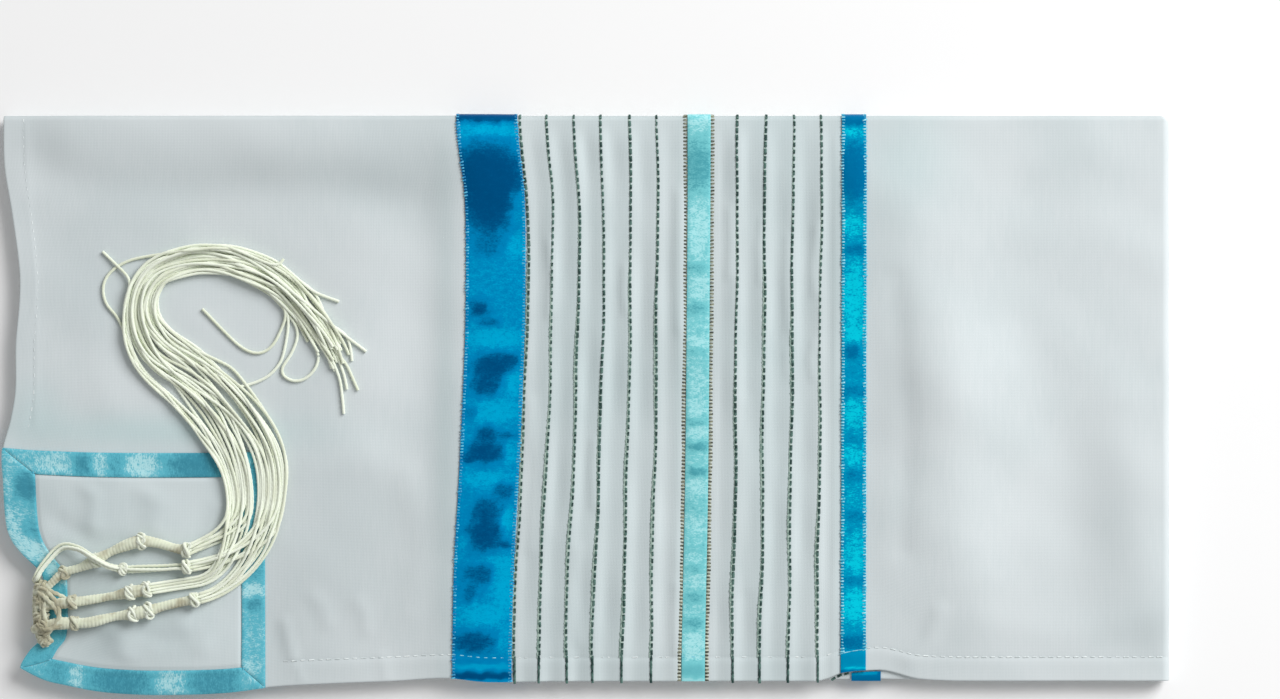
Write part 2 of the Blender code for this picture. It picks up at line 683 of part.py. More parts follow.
clear_scene()
PARTS = make_collection("folded_prayer_shawl")
CUTTERS = make_collection("cutters")
MATERIALS = {name: make_material(name) for name in COLOURS}
make_under_layers()
make_shawl_top()
make_ribbon("ribbon_wide", WIDE_RIBBON, "dark_ribbon", 4)
make_ribbon("ribbon_light", LIGHT_RIBBON, "light_ribbon", 2)
make_ribbon("ribbon_narrow", NARROW_RIBBON, "dark_ribbon", 2)
make_lower_ribbon_end()
make_corner_panel()
for patch_side in ("top", "left", "right", "bottom"):
    make_corner_ribbon(patch_side)
for tassel_name in CORDS:
    make_tassel(tassel_name)
stand_on_origin()
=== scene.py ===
import math

import bmesh
import bpy
import numpy as np
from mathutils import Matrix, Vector


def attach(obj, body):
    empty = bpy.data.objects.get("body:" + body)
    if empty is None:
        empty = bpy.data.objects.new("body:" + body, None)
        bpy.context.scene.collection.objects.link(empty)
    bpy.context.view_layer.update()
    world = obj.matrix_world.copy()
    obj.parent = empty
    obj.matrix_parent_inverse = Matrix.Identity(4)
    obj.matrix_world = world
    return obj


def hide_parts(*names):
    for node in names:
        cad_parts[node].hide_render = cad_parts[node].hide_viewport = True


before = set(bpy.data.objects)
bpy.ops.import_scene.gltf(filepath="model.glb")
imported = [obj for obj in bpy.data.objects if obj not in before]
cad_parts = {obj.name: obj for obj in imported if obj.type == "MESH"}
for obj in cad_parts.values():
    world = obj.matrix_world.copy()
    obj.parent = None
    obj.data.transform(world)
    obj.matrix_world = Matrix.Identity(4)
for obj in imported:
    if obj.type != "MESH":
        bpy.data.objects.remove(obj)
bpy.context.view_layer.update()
print("frame loaded:", len(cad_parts), "nodes")

mm = 0.001  # tables below are in mm: x from the packet's left end, y up from its lower edge

packet = {
    "length": 478.9,
    "width": 237.6,
    "face": 7.702,
    "cloth": 1.2,
    "shift": (-239.405, -119.459),
    "topRoll": 2.2,
    "topDrop": 3.3,
    "endRoll": 3.2,
    "endDrop": 5.8,
    "cornerRounding": (1.4, 1.0),
    "cornerReach": 150.0,
    "edgeReach": 110.0,
}
flatEnd = packet["length"] - packet["endRoll"]
flatTop = packet["width"] - packet["topRoll"]

leftEdge = (  # y, x
    (0.0, 8.0), (11.1, 7.4), (18.4, 11.5), (23.0, 16.0), (30.0, 17.2), (43.0, 17.2),
    (50.0, 16.0), (57.4, 8.6), (63.0, 4.2), (69.7, 1.8), (88.1, 0.4), (100.4, 0.0), (112.8, 3.3),
    (125.0, 5.3), (143.5, 5.4), (161.9, 7.0), (174.2, 7.0), (198.8, 3.7), (217.3, 0.8), (238.2, 0.4),
)
lowerEdge = (  # x, y
    (7.4, 11.1), (17.6, 6.1), (25.8, 4.1), (38.1, 1.6), (50.4, 0.4), (64.8, 0.0), (91.4, 0.8),
    (111.9, 3.3), (132.4, 4.5), (163.2, 5.7), (183.7, 6.8), (200.1, 5.2), (230.0, 5.5), (478.9, 5.7),
)
liftedHem = (  # x, rise of the upper hem
    (336.5, 0.0), (340.2, 1.2), (344.0, 3.1), (348.5, 3.9), (355.0, 4.3), (361.5, 4.4), (367.0, 3.2),
    (373.5, 1.3), (380.0, 0.5), (392.0, 0.0),
)
bandSway = (  # y, shift of the band's left half
    (0.0, -1.4), (19.3, -1.4), (50.4, -0.8), (82.0, 0.9), (122.6, 2.9), (162.8, 4.1),
    (203.4, 3.7), (223.9, 1.3), (238.2, 0.0),
)
swayShare = ((120.0, 0.0), (186.0, 1.0), (216.0, 0.85), (245.0, 0.5), (269.0, 0.15), (300.0, 0.0))
bandLean = ((0.0, -2.4), (18.4, -2.3), (82.0, -1.2), (163.0, -0.6), (238.2, 0.0))
leanShare = ((200.0, 0.0), (235.0, 1.0), (334.0, 1.0), (344.0, 0.25), (370.0, 0.0))


def ease(value):
    t = np.clip(value, 0.0, 1.0)
    return t * t * (3.0 - 2.0 * t)


def readTable(table, keys, column=1):
    rows = np.array(table, float)
    xs, ys = rows[:, 0], rows[:, column]
    keys = np.clip(keys, xs[0], xs[-1])
    row = np.clip(np.searchsorted(xs, keys, side="right") - 1, 0, len(xs) - 2)
    before = np.maximum(row - 1, 0)
    after = np.minimum(row + 2, len(xs) - 1)
    end = row + 1
    span = xs[end] - xs[row]
    slopeStart = (ys[end] - ys[before]) / (xs[end] - xs[before])
    slopeEnd = (ys[after] - ys[row]) / (xs[after] - xs[row])
    t = (keys - xs[row]) / span
    startPart = (2 * t**3 - 3 * t**2 + 1) * ys[row] + (t**3 - 2 * t**2 + t) * span * slopeStart
    return startPart + (3 * t**2 - 2 * t**3) * ys[end] + (t**3 - t**2) * span * slopeEnd


def plan(across, up, lifted=True):
    # from a place on the smoothed cloth to its place in the packet's outline
    across, up = np.broadcast_arrays(np.asarray(across, float), np.asarray(up, float))
    shareUp = up / packet["width"]
    corner = np.clip(1.0 - across / packet["cornerReach"], 0.0, 1.0) ** 2
    edge = np.clip(1.0 - across / packet["edgeReach"], 0.0, 1.0) ** 2
    lowX = across + lowerEdge[0][0] * corner
    lowY = readTable(lowerEdge, lowX)
    if lifted:
        lowY = lowY + readTable(liftedHem, lowX)
    y = up + lowY * (1.0 - shareUp) ** 3
    x = lowX + (across - lowX) * shareUp
    x = x + (readTable(leftEdge, y) - lowerEdge[0][0] * (1.0 - shareUp)) * edge
    x = x + readTable(bandSway, y) * np.clip(readTable(swayShare, across), 0.0, 1.0)
    x = x + readTable(bandLean, y) * np.clip(readTable(leanShare, across), 0.0, 1.0)
    return x, y


# The folds and creases, each along a line of places with its half width and height
folds = (
    (((30.0, 229.0), (190.0, 229.0)), 17.0, 1.6),
    (((142.0, 105.0), (152.0, 180.0)), 21.0, 1.3),
    (((188.0, 15.0), (190.0, 225.0)), 15.0, 0.7),
    (((360.0, 203.0), (388.0, 129.0)), 21.0, 2.6),
    (((388.0, 129.0), (393.0, 50.0)), 20.0, 2.5),
    (((458.0, 118.0), (471.0, 36.0)), 14.0, 1.6),
    (((240.0, 60.0), (330.0, 170.0)), 40.0, 0.8),
)
creases = (
    (((298.2, 199.0), (298.9, 186.0), (298.0, 172.0)), 1.5, 0.5),
    (((311.6, 196.0), (310.4, 184.0), (310.9, 170.0)), 1.4, 0.45),
    (((322.2, 188.0), (321.2, 170.0), (322.4, 150.0)), 1.3, 0.4),
    (((333.9, 192.0), (332.2, 174.0), (333.0, 165.0)), 1.5, 0.55),
    (((332.6, 145.0), (331.4, 138.0), (332.4, 130.0)), 1.3, 0.5),
    (((321.6, 141.0), (322.4, 131.0)), 1.2, 0.35),
    (((322.3, 99.0), (321.8, 90.0)), 1.2, 0.35),
    (((255.4, 176.0), (254.6, 166.0), (255.6, 158.0)), 1.4, 0.45),
    (((224.2, 186.0), (225.6, 172.0), (224.4, 156.0)), 1.6, 0.55),
    (((242.8, 104.0), (242.0, 92.0), (242.8, 78.0)), 1.8, 0.45),
    (((277.4, 206.0), (276.6, 170.0), (277.6, 150.0)), 2.2, 0.5),
    (((276.8, 45.0), (276.2, 30.0), (277.0, 18.0)), 2.0, 0.6),
    (((216.8, 120.0), (217.6, 96.0), (216.4, 60.0)), 2.4, 0.45),
    (((236.0, 60.0), (235.0, 40.0), (236.2, 22.0)), 2.2, 0.4),
    (((305.0, 120.0), (304.2, 80.0), (305.6, 44.0)), 2.6, 0.35),
    (((115.6, 30.0), (117.4, 22.0), (119.0, 15.5)), 2.0, 0.7),
    (((121.4, 11.0), (122.6, 6.5)), 1.4, 0.4),
    (((128.0, 40.0), (131.6, 36.0), (133.4, 30.0)), 3.4, 0.5),
    (((146.0, 38.0), (148.8, 33.0), (149.2, 27.0)), 3.0, 0.45),
    (((155.5, 16.0), (157.6, 7.0)), 2.2, 0.35),
    (((9.4, 234.0), (10.6, 205.0), (13.8, 172.0), (14.0, 110.0)), 1.4, 0.16),
    (((20.0, 214.0), (60.0, 206.0), (120.0, 209.0), (170.0, 203.0)), 9.0, -0.7),
    (((36.0, 150.0), (44.0, 120.0)), 8.0, 0.35),
    (((110.0, 70.0), (128.0, 92.0), (150.0, 96.0)), 7.0, 0.35),
    (((166.0, 90.0), (172.0, 60.0), (168.0, 34.0)), 6.0, 0.4),
    (((366.0, 170.0), (371.0, 110.0), (369.0, 60.0)), 5.0, -0.6),
    (((420.0, 150.0), (436.0, 96.0), (440.0, 50.0)), 12.0, -0.7),
    (((404.0, 30.0), (430.0, 24.0), (456.0, 28.0)), 8.0, 0.5),
    (((372.0, 14.0), (380.0, 22.0), (384.0, 34.0)), 3.6, 0.6),
    (((398.0, 186.0), (440.0, 190.0), (468.0, 182.0)), 12.0, 0.5),
    (((410.0, 216.0), (446.0, 222.0)), 9.0, 0.4),
)
clothWaves = (  # wave length, direction, height, phase
    (61.0, 0.4, 0.16, 0.7), (43.0, 1.3, 0.12, 2.1), (33.0, 2.3, 0.09, 4.4), (24.0, 0.9, 0.05, 1.1),
)


def ridge(x, y, places, halfWidth, height):
    nearest = np.full(np.shape(x), 1e9)
    for (x1, y1), (x2, y2) in zip(places, places[1:]):
        runX, runY = x2 - x1, y2 - y1
        along = np.clip(((x - x1) * runX + (y - y1) * runY) / (runX**2 + runY**2), 0.0, 1.0)
        nearest = np.minimum(nearest, (x - x1 - runX * along) ** 2 + (y - y1 - runY * along) ** 2)
    return height * np.exp(-nearest / halfWidth**2)


def foldHeight(x, y):
    height = np.zeros(np.shape(x))
    for places, halfWidth, rise in folds + creases:
        height = height + ridge(x, y, places, halfWidth, rise)
    for length, direction, rise, phase in clothWaves:
        run = x * math.cos(direction) + y * math.sin(direction)
        height = height + rise * np.sin(run * 2 * math.pi / length + phase)
    return height


def roll(beyond, radius, offset, drop):
    # past a rounded fold: how far out and how far down the cloth has come
    angle = np.minimum(beyond / radius, math.pi / 2)
    out = (radius + offset) * np.sin(angle)
    down = (radius + offset) * (1.0 - np.cos(angle))
    straight = np.maximum(0.0, beyond - radius * math.pi / 2)
    return out, down + np.minimum(straight, drop - radius)


def facePoints(across, up, offset=0.0, relief=0.0):
    # points of the upper face, moved out along it and rolled down at the two folds
    x, y = plan(np.minimum(across, flatEnd), np.minimum(up, flatTop))
    outX, downX = roll(np.maximum(0.0, across - flatEnd), packet["endRoll"], offset, packet["endDrop"])
    outY, downY = roll(np.maximum(0.0, up - flatTop), packet["topRoll"], offset, packet["topDrop"])
    both = (outX / packet["endRoll"]) * (outY / packet["topRoll"])
    z = packet["face"] + foldHeight(x, y) + offset + relief - np.cbrt(downX**3 + downY**3)
    x = x + outX - packet["cornerRounding"][0] * both
    y = y + outY - packet["cornerRounding"][1] * both
    return np.stack(np.broadcast_arrays(x, y, z), -1)


def toWorld(points):
    return (points + np.array([*packet["shift"], 0.0])) * mm


def srgb(red, green, blue):
    # a display colour, 0 to 255, as the linear colour that a shader takes
    values = (v / 255.0 for v in (red, green, blue))
    return (*(v / 12.92 if v < 0.04045 else ((v + 0.055) / 1.055) ** 2.4 for v in values), 1.0)


# Materials

def newMaterial(name, roughness, specular=0.5, sheen=0.0, anisotropy=0.0, shine=(1.0, 1.0, 1.0, 1.0)):
    material = bpy.data.materials.new(name)
    material.use_nodes = True
    shader = material.node_tree.nodes["Principled BSDF"]
    shader.inputs["Roughness"].default_value = roughness
    shader.inputs["Specular IOR Level"].default_value = specular
    shader.inputs["Sheen Weight"].default_value = sheen
    shader.inputs["Anisotropic"].default_value = anisotropy
    shader.inputs["Specular Tint"].default_value = shine
    return material, material.node_tree.nodes, material.node_tree.links, shader


def addNode(nodes, kind, **inputs):
    node = nodes.new(kind)
    for key, value in inputs.items():
        if key in node.inputs:
            node.inputs[key].default_value = value
        else:
            setattr(node, key, value)
    return node


def mathNode(nodes, links, operation, first, second):
    node = nodes.new("ShaderNodeMath")
    node.operation = operation
    for slotNumber, value in enumerate((first, second)):
        if isinstance(value, (int, float)):
            node.inputs[slotNumber].default_value = value
        else:
            links.new(value, node.inputs[slotNumber])
    return node.outputs[0]


def rampNode(nodes, links, factor, stops):
    ramp = nodes.new("ShaderNodeValToRGB")
    ramp.color_ramp.interpolation = "EASE"
    elements = ramp.color_ramp.elements
    while len(elements) < len(stops):
        elements.new(0.5)
    for element, (place, colour) in zip(elements, stops):
        element.position = place
        element.color = colour
    links.new(factor, ramp.inputs["Fac"])
    return ramp.outputs["Color"]


def addBump(nodes, links, shader, height, strength, distance):
    bump = nodes.new("ShaderNodeBump")
    bump.inputs["Strength"].default_value = strength
    bump.inputs["Distance"].default_value = distance
    links.new(height, bump.inputs["Height"])
    links.new(bump.outputs["Normal"], shader.inputs["Normal"])


def scaledNoise(nodes, links, source, scale, stretch=(1.0, 1.0, 1.0), detail=2.0):
    mapping = nodes.new("ShaderNodeMapping")
    mapping.inputs["Scale"].default_value = stretch
    links.new(source, mapping.inputs["Vector"])
    noise = nodes.new("ShaderNodeTexNoise")
    noise.inputs["Scale"].default_value = scale
    noise.inputs["Detail"].default_value = detail
    links.new(mapping.outputs["Vector"], noise.inputs["Vector"])
    return noise.outputs["Fac"]


clothFinish = {
    "pale": srgb(219, 226, 228),
    "dim": srgb(211, 220, 222),
    # the colour that the cloth's painted shade mixes towards
    "shade": srgb(150, 162, 164),
    "glow": srgb(132, 202, 202),
    "threadPitch": 0.00062,
    "weaveBump": 0.25,
    "slubBump": 0.00012,
}


def makeClothMaterial():
    material, nodes, links, shader = newMaterial("shawlCloth", 0.82, specular=0.25, sheen=0.12)
    uv = addNode(nodes, "ShaderNodeUVMap", uv_map="lay").outputs["UV"]
    place = nodes.new("ShaderNodeTexCoord").outputs["Object"]
    cloudy = scaledNoise(nodes, links, place, 14.0, detail=3.0)
    slub = scaledNoise(nodes, links, uv, 520.0, (1.0, 0.16, 1.0))
    tint = mathNode(nodes, links, "ADD", cloudy, mathNode(nodes, links, "MULTIPLY", slub, 0.25))
    colour = rampNode(nodes, links, tint, [(0.42, clothFinish["dim"]), (0.78, clothFinish["pale"])])
    # painted shade: the attribute shade darkens the cloth's colour towards clothFinish shade
    shade = addNode(nodes, "ShaderNodeAttribute", attribute_name="shade").outputs["Fac"]
    shaded = nodes.new("ShaderNodeMix")
    shaded.data_type = "RGBA"
    shaded.inputs[7].default_value = clothFinish["shade"]
    links.new(shade, shaded.inputs[0])
    links.new(colour, shaded.inputs[6])
    glow = addNode(nodes, "ShaderNodeAttribute", attribute_name="glow").outputs["Fac"]
    glowing = nodes.new("ShaderNodeMix")
    glowing.data_type = "RGBA"
    glowing.inputs[7].default_value = clothFinish["glow"]
    links.new(glow, glowing.inputs[0])
    links.new(shaded.outputs[2], glowing.inputs[6])
    links.new(glowing.outputs[2], shader.inputs["Base Color"])
    waves = []
    for direction in ("X", "Y"):
        wave = nodes.new("ShaderNodeTexWave")
        wave.bands_direction = direction
        wave.inputs["Scale"].default_value = 0.314 / clothFinish["threadPitch"]
        wave.inputs["Distortion"].default_value = 0.6
        wave.inputs["Detail"].default_value = 1.0
        links.new(uv, wave.inputs["Vector"])
        waves.append(wave.outputs["Fac"])
    weave = mathNode(nodes, links, "MAXIMUM", *waves)
    height = mathNode(nodes, links, "ADD", weave, slub)
    addBump(nodes, links, shader, height, clothFinish["weaveBump"], clothFinish["slubBump"])
    return material


def makeSatinMaterial(name, stops, threadStrength, roughness=0.36):
    # the attribute tone paints in how much light the puckered satin throws back at a place: painted highlight
    # and shade
    material, nodes, links, shader = newMaterial(
        name, roughness, specular=0.3, anisotropy=0.4, shine=stops[-1][1],
    )
    uv = addNode(nodes, "ShaderNodeUVMap", uv_map="lay").outputs["UV"]
    tone = addNode(nodes, "ShaderNodeAttribute", attribute_name="tone").outputs["Fac"]
    plain = addNode(nodes, "ShaderNodeAttribute", attribute_name="plain").outputs["Fac"]
    threads = scaledNoise(nodes, links, uv, 1900.0, (0.6, 1.0, 1.0), detail=2.0)
    mottle = scaledNoise(nodes, links, uv, 620.0, (0.6, 1.0, 1.0), detail=2.0)
    both = mathNode(nodes, links, "ADD", threads, mathNode(nodes, links, "MULTIPLY", mottle, 0.9))
    centred = mathNode(nodes, links, "SUBTRACT", both, 0.95)
    unpressed = mathNode(nodes, links, "SUBTRACT", 1.0, plain)
    # painted light: the threads show more where the painted tone is brighter
    litShare = mathNode(nodes, links, "ADD", mathNode(nodes, links, "MULTIPLY", tone, 1.1), 0.3)
    unpressed = mathNode(nodes, links, "MULTIPLY", unpressed, litShare)
    shown = mathNode(nodes, links, "MULTIPLY", centred, unpressed)
    factor = mathNode(nodes, links, "ADD", tone, mathNode(nodes, links, "MULTIPLY", shown, threadStrength))
    links.new(rampNode(nodes, links, factor, stops), shader.inputs["Base Color"])
    addBump(nodes, links, shader, threads, 0.2, 0.0001)
    return material


def makeThreadMaterial(name, dark, light, scale=900.0, roughness=0.7):
    material, nodes, links, shader = newMaterial(name, roughness, specular=0.3, sheen=0.1)
    place = nodes.new("ShaderNodeTexCoord").outputs["Object"]
    fleck = scaledNoise(nodes, links, place, scale, detail=2.0)
    links.new(rampNode(nodes, links, fleck, [(0.38, dark), (0.62, light)]), shader.inputs["Base Color"])
    addBump(nodes, links, shader, fleck, 0.25, 0.0001)
    return material


def makeYarnMaterial():
    material, nodes, links, shader = newMaterial("tasselYarn", 0.95, specular=0.04, sheen=0.2)
    shader.inputs["Sheen Roughness"].default_value = 0.6
    shader.inputs["Sheen Tint"].default_value = srgb(248, 246, 222)
    shader.inputs["Diffuse Roughness"].default_value = 1.0
    shader.inputs["Subsurface Weight"].default_value = 0.4
    shader.inputs["Subsurface Radius"].default_value = (1.0, 1.0, 1.0)
    shader.inputs["Subsurface Scale"].default_value = 0.0008
    place = nodes.new("ShaderNodeTexCoord").outputs["Object"]
    uv = addNode(nodes, "ShaderNodeUVMap", uv_map="lay").outputs["UV"]
    tone = addNode(nodes, "ShaderNodeAttribute", attribute_name="tone").outputs["Fac"]
    wool = scaledNoise(nodes, links, place, 160.0, detail=3.0)
    hairs = scaledNoise(nodes, links, uv, 900.0, (1.0, 0.12, 1.0), detail=1.0)
    mixed = mathNode(nodes, links, "ADD", mathNode(nodes, links, "MULTIPLY", wool, 0.5), tone)
    factor = mathNode(nodes, links, "ADD", mixed, mathNode(nodes, links, "MULTIPLY", hairs, 0.2))
    # the darkest stop serves the root's painted shade
    stops = [(0.08, srgb(182, 178, 154)), (0.3, srgb(228, 233, 214)), (0.62, srgb(241, 247, 232))]
    links.new(rampNode(nodes, links, factor, stops), shader.inputs["Base Color"])
    addBump(nodes, links, shader, hairs, 0.15, 0.00012)
    return material


materials = {
    "cloth": makeClothMaterial(),
    "wideSatin": makeSatinMaterial(
        "wideRibbonSatin",
        [(0.03, srgb(0, 74, 124)), (0.45, srgb(0, 130, 186)), (0.95, srgb(0, 168, 214))], 0.6,
    ),
    "narrowSatin": makeSatinMaterial(
        "narrowRibbonSatin",
        [(0.05, srgb(0, 108, 160)), (0.5, srgb(0, 146, 190)), (0.95, srgb(6, 202, 226))], 0.95,
    ),
    "lightSatin": makeSatinMaterial(
        "lightRibbonSatin",
        [(0.05, srgb(76, 162, 174)), (0.5, srgb(120, 204, 210)), (0.95, srgb(172, 232, 236))], 1.0,
    ),
    "patchSatin": makeSatinMaterial(
        "cornerRibbonSatin",
        [(0.05, srgb(62, 142, 164)), (0.5, srgb(96, 186, 204)), (0.95, srgb(180, 228, 234))], 0.85,
    ),
    "yarn": makeYarnMaterial(),
    "dashThread": makeThreadMaterial("darkDashThread", srgb(30, 60, 56), srgb(84, 116, 108), 500.0),
    "plyThread": makeThreadMaterial("sagePlyThread", srgb(122, 150, 140), srgb(176, 196, 186), 1100.0),
    "hemThread": makeThreadMaterial("whiteHemThread", srgb(196, 205, 206), srgb(236, 242, 242), 500.0),
    "darkTick": makeThreadMaterial("darkTickThread", srgb(58, 62, 52), srgb(134, 136, 116), 700.0),
    "paleTick": makeThreadMaterial("paleTickThread", srgb(184, 192, 174), srgb(216, 222, 206)),
    "iceTick": makeThreadMaterial("iceTickThread", srgb(66, 178, 206), srgb(164, 226, 238), 800.0),
    "ribbonThread": makeThreadMaterial("ribbonStitchThread", srgb(10, 124, 186), srgb(96, 196, 226), 800.0),
}
print("materials made:", len(materials))


# Meshes

def linkPiece(name, mesh, material):
    mesh.materials.append(materials[material])
    piece = bpy.data.objects.new(name, mesh)
    bpy.context.scene.collection.objects.link(piece)
    return piece


def meshFrom(name, points, faces, uv=None, values=None, sharpFrom=None, recalculate=True):
    # points in mm on the packet, faces as lists of point numbers, uv in metres for each point
    mesh = bpy.data.meshes.new(name)
    mesh.from_pydata(toWorld(points).tolist(), [], faces)
    for attributeName, numbers in (values or {}).items():
        attribute = mesh.attributes.new(attributeName, "FLOAT", "POINT")
        attribute.data.foreach_set("value", np.asarray(numbers, np.float32).ravel())
    if uv is not None:
        layer = mesh.uv_layers.new(name="lay")
        corners = np.zeros(len(mesh.loops), np.int32)
        mesh.loops.foreach_get("vertex_index", corners)
        layer.data.foreach_set("uv", np.asarray(uv, np.float32)[corners].ravel())
    if recalculate:
        bm = bmesh.new()
        bm.from_mesh(mesh)
        bmesh.ops.delete(bm, geom=[v for v in bm.verts if not v.link_faces], context="VERTS")
        bmesh.ops.recalc_face_normals(bm, faces=bm.faces)
        bm.to_mesh(mesh)
        bm.free()
    mesh.shade_smooth()
    if sharpFrom:
        mesh.set_sharp_from_angle(angle=math.radians(sharpFrom))
    return mesh


def gridFaces(rowCount, columnCount, start=0, turned=False):
    number = start + np.arange(rowCount * columnCount).reshape(rowCount, columnCount)
    quads = np.stack([number[:-1, :-1], number[:-1, 1:], number[1:, 1:], number[1:, :-1]], -1).reshape(-1, 4)
    return quads[:, ::-1] if turned else quads


def shellParts(outer, inner, uv, values=None):
    # a closed thin shell between two grids of points
    rowCount, columnCount = outer.shape[:2]
    half = rowCount * columnCount
    faces = [gridFaces(rowCount, columnCount), gridFaces(rowCount, columnCount, half, True)]
    number = np.arange(half).reshape(rowCount, columnCount)
    border = np.concatenate([number[0, :-1], number[:-1, -1], number[-1, :0:-1], number[:0:-1, 0]])
    following = np.roll(border, -1)
    faces.append(np.stack([border, border + half, following + half, following], -1))
    points = np.concatenate([outer.reshape(-1, 3), inner.reshape(-1, 3)])
    uv = np.concatenate([uv.reshape(-1, 2)] * 2)
    doubled = {key: np.concatenate([np.ravel(v)] * 2) for key, v in (values or {}).items()}
    return points, np.concatenate(faces), uv, doubled


def shellMesh(name, outer, inner, uv, values=None, sharpFrom=None):
    points, faces, uv, doubled = shellParts(outer, inner, uv, values)
    return meshFrom(name, points, faces.tolist(), uv, doubled, sharpFrom)


def joinParts(parts):
    # the points, faces and uv of several parts as those of one mesh
    starts = np.cumsum([0] + [len(part[0]) for part in parts]).tolist()
    faces = []
    for start, part in zip(starts, parts):
        faces += [[start + int(number) for number in face] for face in part[1]]
    return np.concatenate([part[0] for part in parts]), faces, np.concatenate([part[2] for part in parts])


def steps(*stops):
    # places from (start, step, next start, step, ..., end), each stretch evenly divided
    places = []
    for start, step, end in zip(stops[::2], stops[1::2], stops[2::2]):
        count = max(1, round((end - start) / step))
        places += [start + (end - start) * i / count for i in range(count)]
    return np.array(places + [stops[-1]])


# The cloth that shows

cloth = {
    "hemLeft": 8.4,
    "hemLower": 10.6,
    "hemStep": 0.24,
    "hemSlope": 2.6,
    "hemDimple": 0.1,
    "sideHem": 0.45,
    "hemStitchPitch": 3.4,
    "edgeRadius": 0.55,
    "crest": 0.8,
    "valley": 0.38,
    "crestEnds": 3.0,
}
stripes = (214.0, 223.0, 234.5, 245.2, 257.1, 268.6)
stripesRight = (301.8, 313.2, 324.7, 336.2)
wideRibbonEdges = (186.1, 211.1)
lightRibbonEdges = (281.1, 290.6)
narrowRibbonEdges = (344.4, 354.4)
patch = {
    "length": 107.4, "width": 99.2, "ribbon": 10.0, "leftRibbon": 13.2,
    "puff": 1.0, "clear": 6.0, "lean": 4.0, "seam": 0.08,
}


def hemRelief(across, up):
    slope = cloth["hemSlope"]
    pastPatchUp = ease((up - patch["width"] - patch["clear"]) / patch["clear"])
    pastPatchAcross = ease((across - patch["length"] - patch["clear"]) / patch["clear"])
    left = cloth["sideHem"] * ease((cloth["hemLeft"] - across) / slope) * pastPatchUp
    lower = ease((cloth["hemLower"] - up) / slope) * pastPatchAcross
    ripple = 0.65 + 0.35 * np.cos(2 * math.pi * across / cloth["hemStitchPitch"])
    dimple = np.exp(-(((up - cloth["hemLower"]) / 0.7) ** 2)) * ripple * pastPatchAcross
    sideRipple = 0.65 + 0.35 * np.cos(2 * math.pi * up / cloth["hemStitchPitch"])
    sideDimple = np.exp(-(((across - cloth["hemLeft"]) / 0.7) ** 2)) * sideRipple
    dimples = np.maximum(dimple, sideDimple * pastPatchUp * cloth["sideHem"])
    return cloth["hemStep"] * np.maximum(left, lower) - cloth["hemDimple"] * dimples


def crestHeight(line, up):
    return cloth["crest"] * (1.0 + 0.3 * np.sin(up / 17.0 + line) + 0.2 * np.sin(up / 7.3 + 1.7 * line))


def stripeRelief(across, up):
    # every woven line lies on a low crest of the cloth, steeper on its right, uneven along it
    height = np.zeros(np.broadcast(across, up).shape)
    left = (wideRibbonEdges[1],) + stripes[1:] + lightRibbonEdges[:1]
    right = lightRibbonEdges[1:] + stripesRight + narrowRibbonEdges[:1]
    for lines in (left, right):
        for start, end in zip(lines, lines[1:]):
            share = (across - start) / (end - start)
            falling = 0.5 + 0.5 * np.cos(math.pi * np.clip(share / cloth["valley"], 0.0, 1.0))
            rising = np.clip((share - cloth["valley"]) / (1.0 - cloth["valley"]), 0.0, 1.0)
            rising = 0.5 - 0.5 * np.cos(math.pi * rising)
            inside = (share >= 0.0) & (share < 1.0)
            height = height + inside * (crestHeight(start, up) * falling + crestHeight(end, up) * rising)
        height = height * ease((across - lines[0]) / cloth["crestEnds"]) if lines is left else height
    for edge in (lightRibbonEdges[0], lightRibbonEdges[1], narrowRibbonEdges[0]):
        height = height * ease(np.abs(across - edge) / cloth["crestEnds"])
    return height * ease((flatTop + 2.0 - up) / 14.0)


clothShades = (  # x, y, half width, half height, shade: painted shade on the cloth, also along its rolled top edge
    (40.0, 226.0, 46.0, 12.0, 0.10), (110.0, 212.0, 60.0, 13.0, 0.20), (166.0, 204.0, 24.0, 20.0, 0.10),
    (181.0, 150.0, 7.0, 90.0, 0.22), (181.0, 60.0, 8.0, 60.0, 0.14), (20.0, 228.0, 14.0, 10.0, 0.10),
    (130.0, 52.0, 34.0, 30.0, 0.12), (116.0, 24.0, 5.0, 12.0, 0.16), (366.0, 200.0, 10.0, 42.0, 0.10),
    (366.0, 128.0, 9.0, 26.0, 0.16), (360.0, 60.0, 8.0, 40.0, 0.10), (456.0, 72.0, 14.0, 30.0, 0.14),
    (228.0, 150.0, 6.0, 60.0, 0.10), (274.0, 170.0, 5.0, 40.0, 0.16), (340.0, 180.0, 5.0, 50.0, 0.14),
    (296.0, 140.0, 5.0, 60.0, 0.08), (388.0, 24.0, 30.0, 14.0, 0.06), (470.0, 24.0, 8.0, 12.0, 0.12),
    (30.0, 180.0, 14.0, 24.0, 0.05), (205.0, 12.0, 300.0, 5.0, 0.04), (240.0, 238.8, 600.0, 2.0, 0.5),
    (242.0, 120.0, 30.0, 200.0, 0.03), (318.0, 120.0, 26.0, 200.0, 0.03), (400.0, 160.0, 60.0, 60.0, 0.05),
)
stripeShade = 0.14  # painted shade, growing towards the next line on the right
# painted light: x, y, half width, half height and amount by which the cloth's painted shade is lessened
paintedClothLights = (
    (150.0, 120.0, 22.0, 60.0, 0.10), (400.0, 160.0, 22.0, 60.0, 0.16), (408.0, 90.0, 22.0, 50.0, 0.14),
    (440.0, 150.0, 30.0, 40.0, 0.06), (70.0, 240.0, 80.0, 6.0, 0.05),
)
clothGlows = (  # ribbons of the layers below, faint through the cloth
    (62.0, 108.0, 62.0, 8.0, 0.22), (182.0, 120.0, 4.0, 120.0, 0.06), (278.0, 130.0, 3.0, 120.0, 0.06),
    (14.0, 118.0, 12.0, 12.0, 0.12), (342.0, 120.0, 2.4, 120.0, 0.06), (245.0, 120.0, 34.0, 200.0, 0.1),
    (318.0, 120.0, 26.0, 200.0, 0.1), (372.0, 222.0, 20.0, 24.0, 0.12),
)


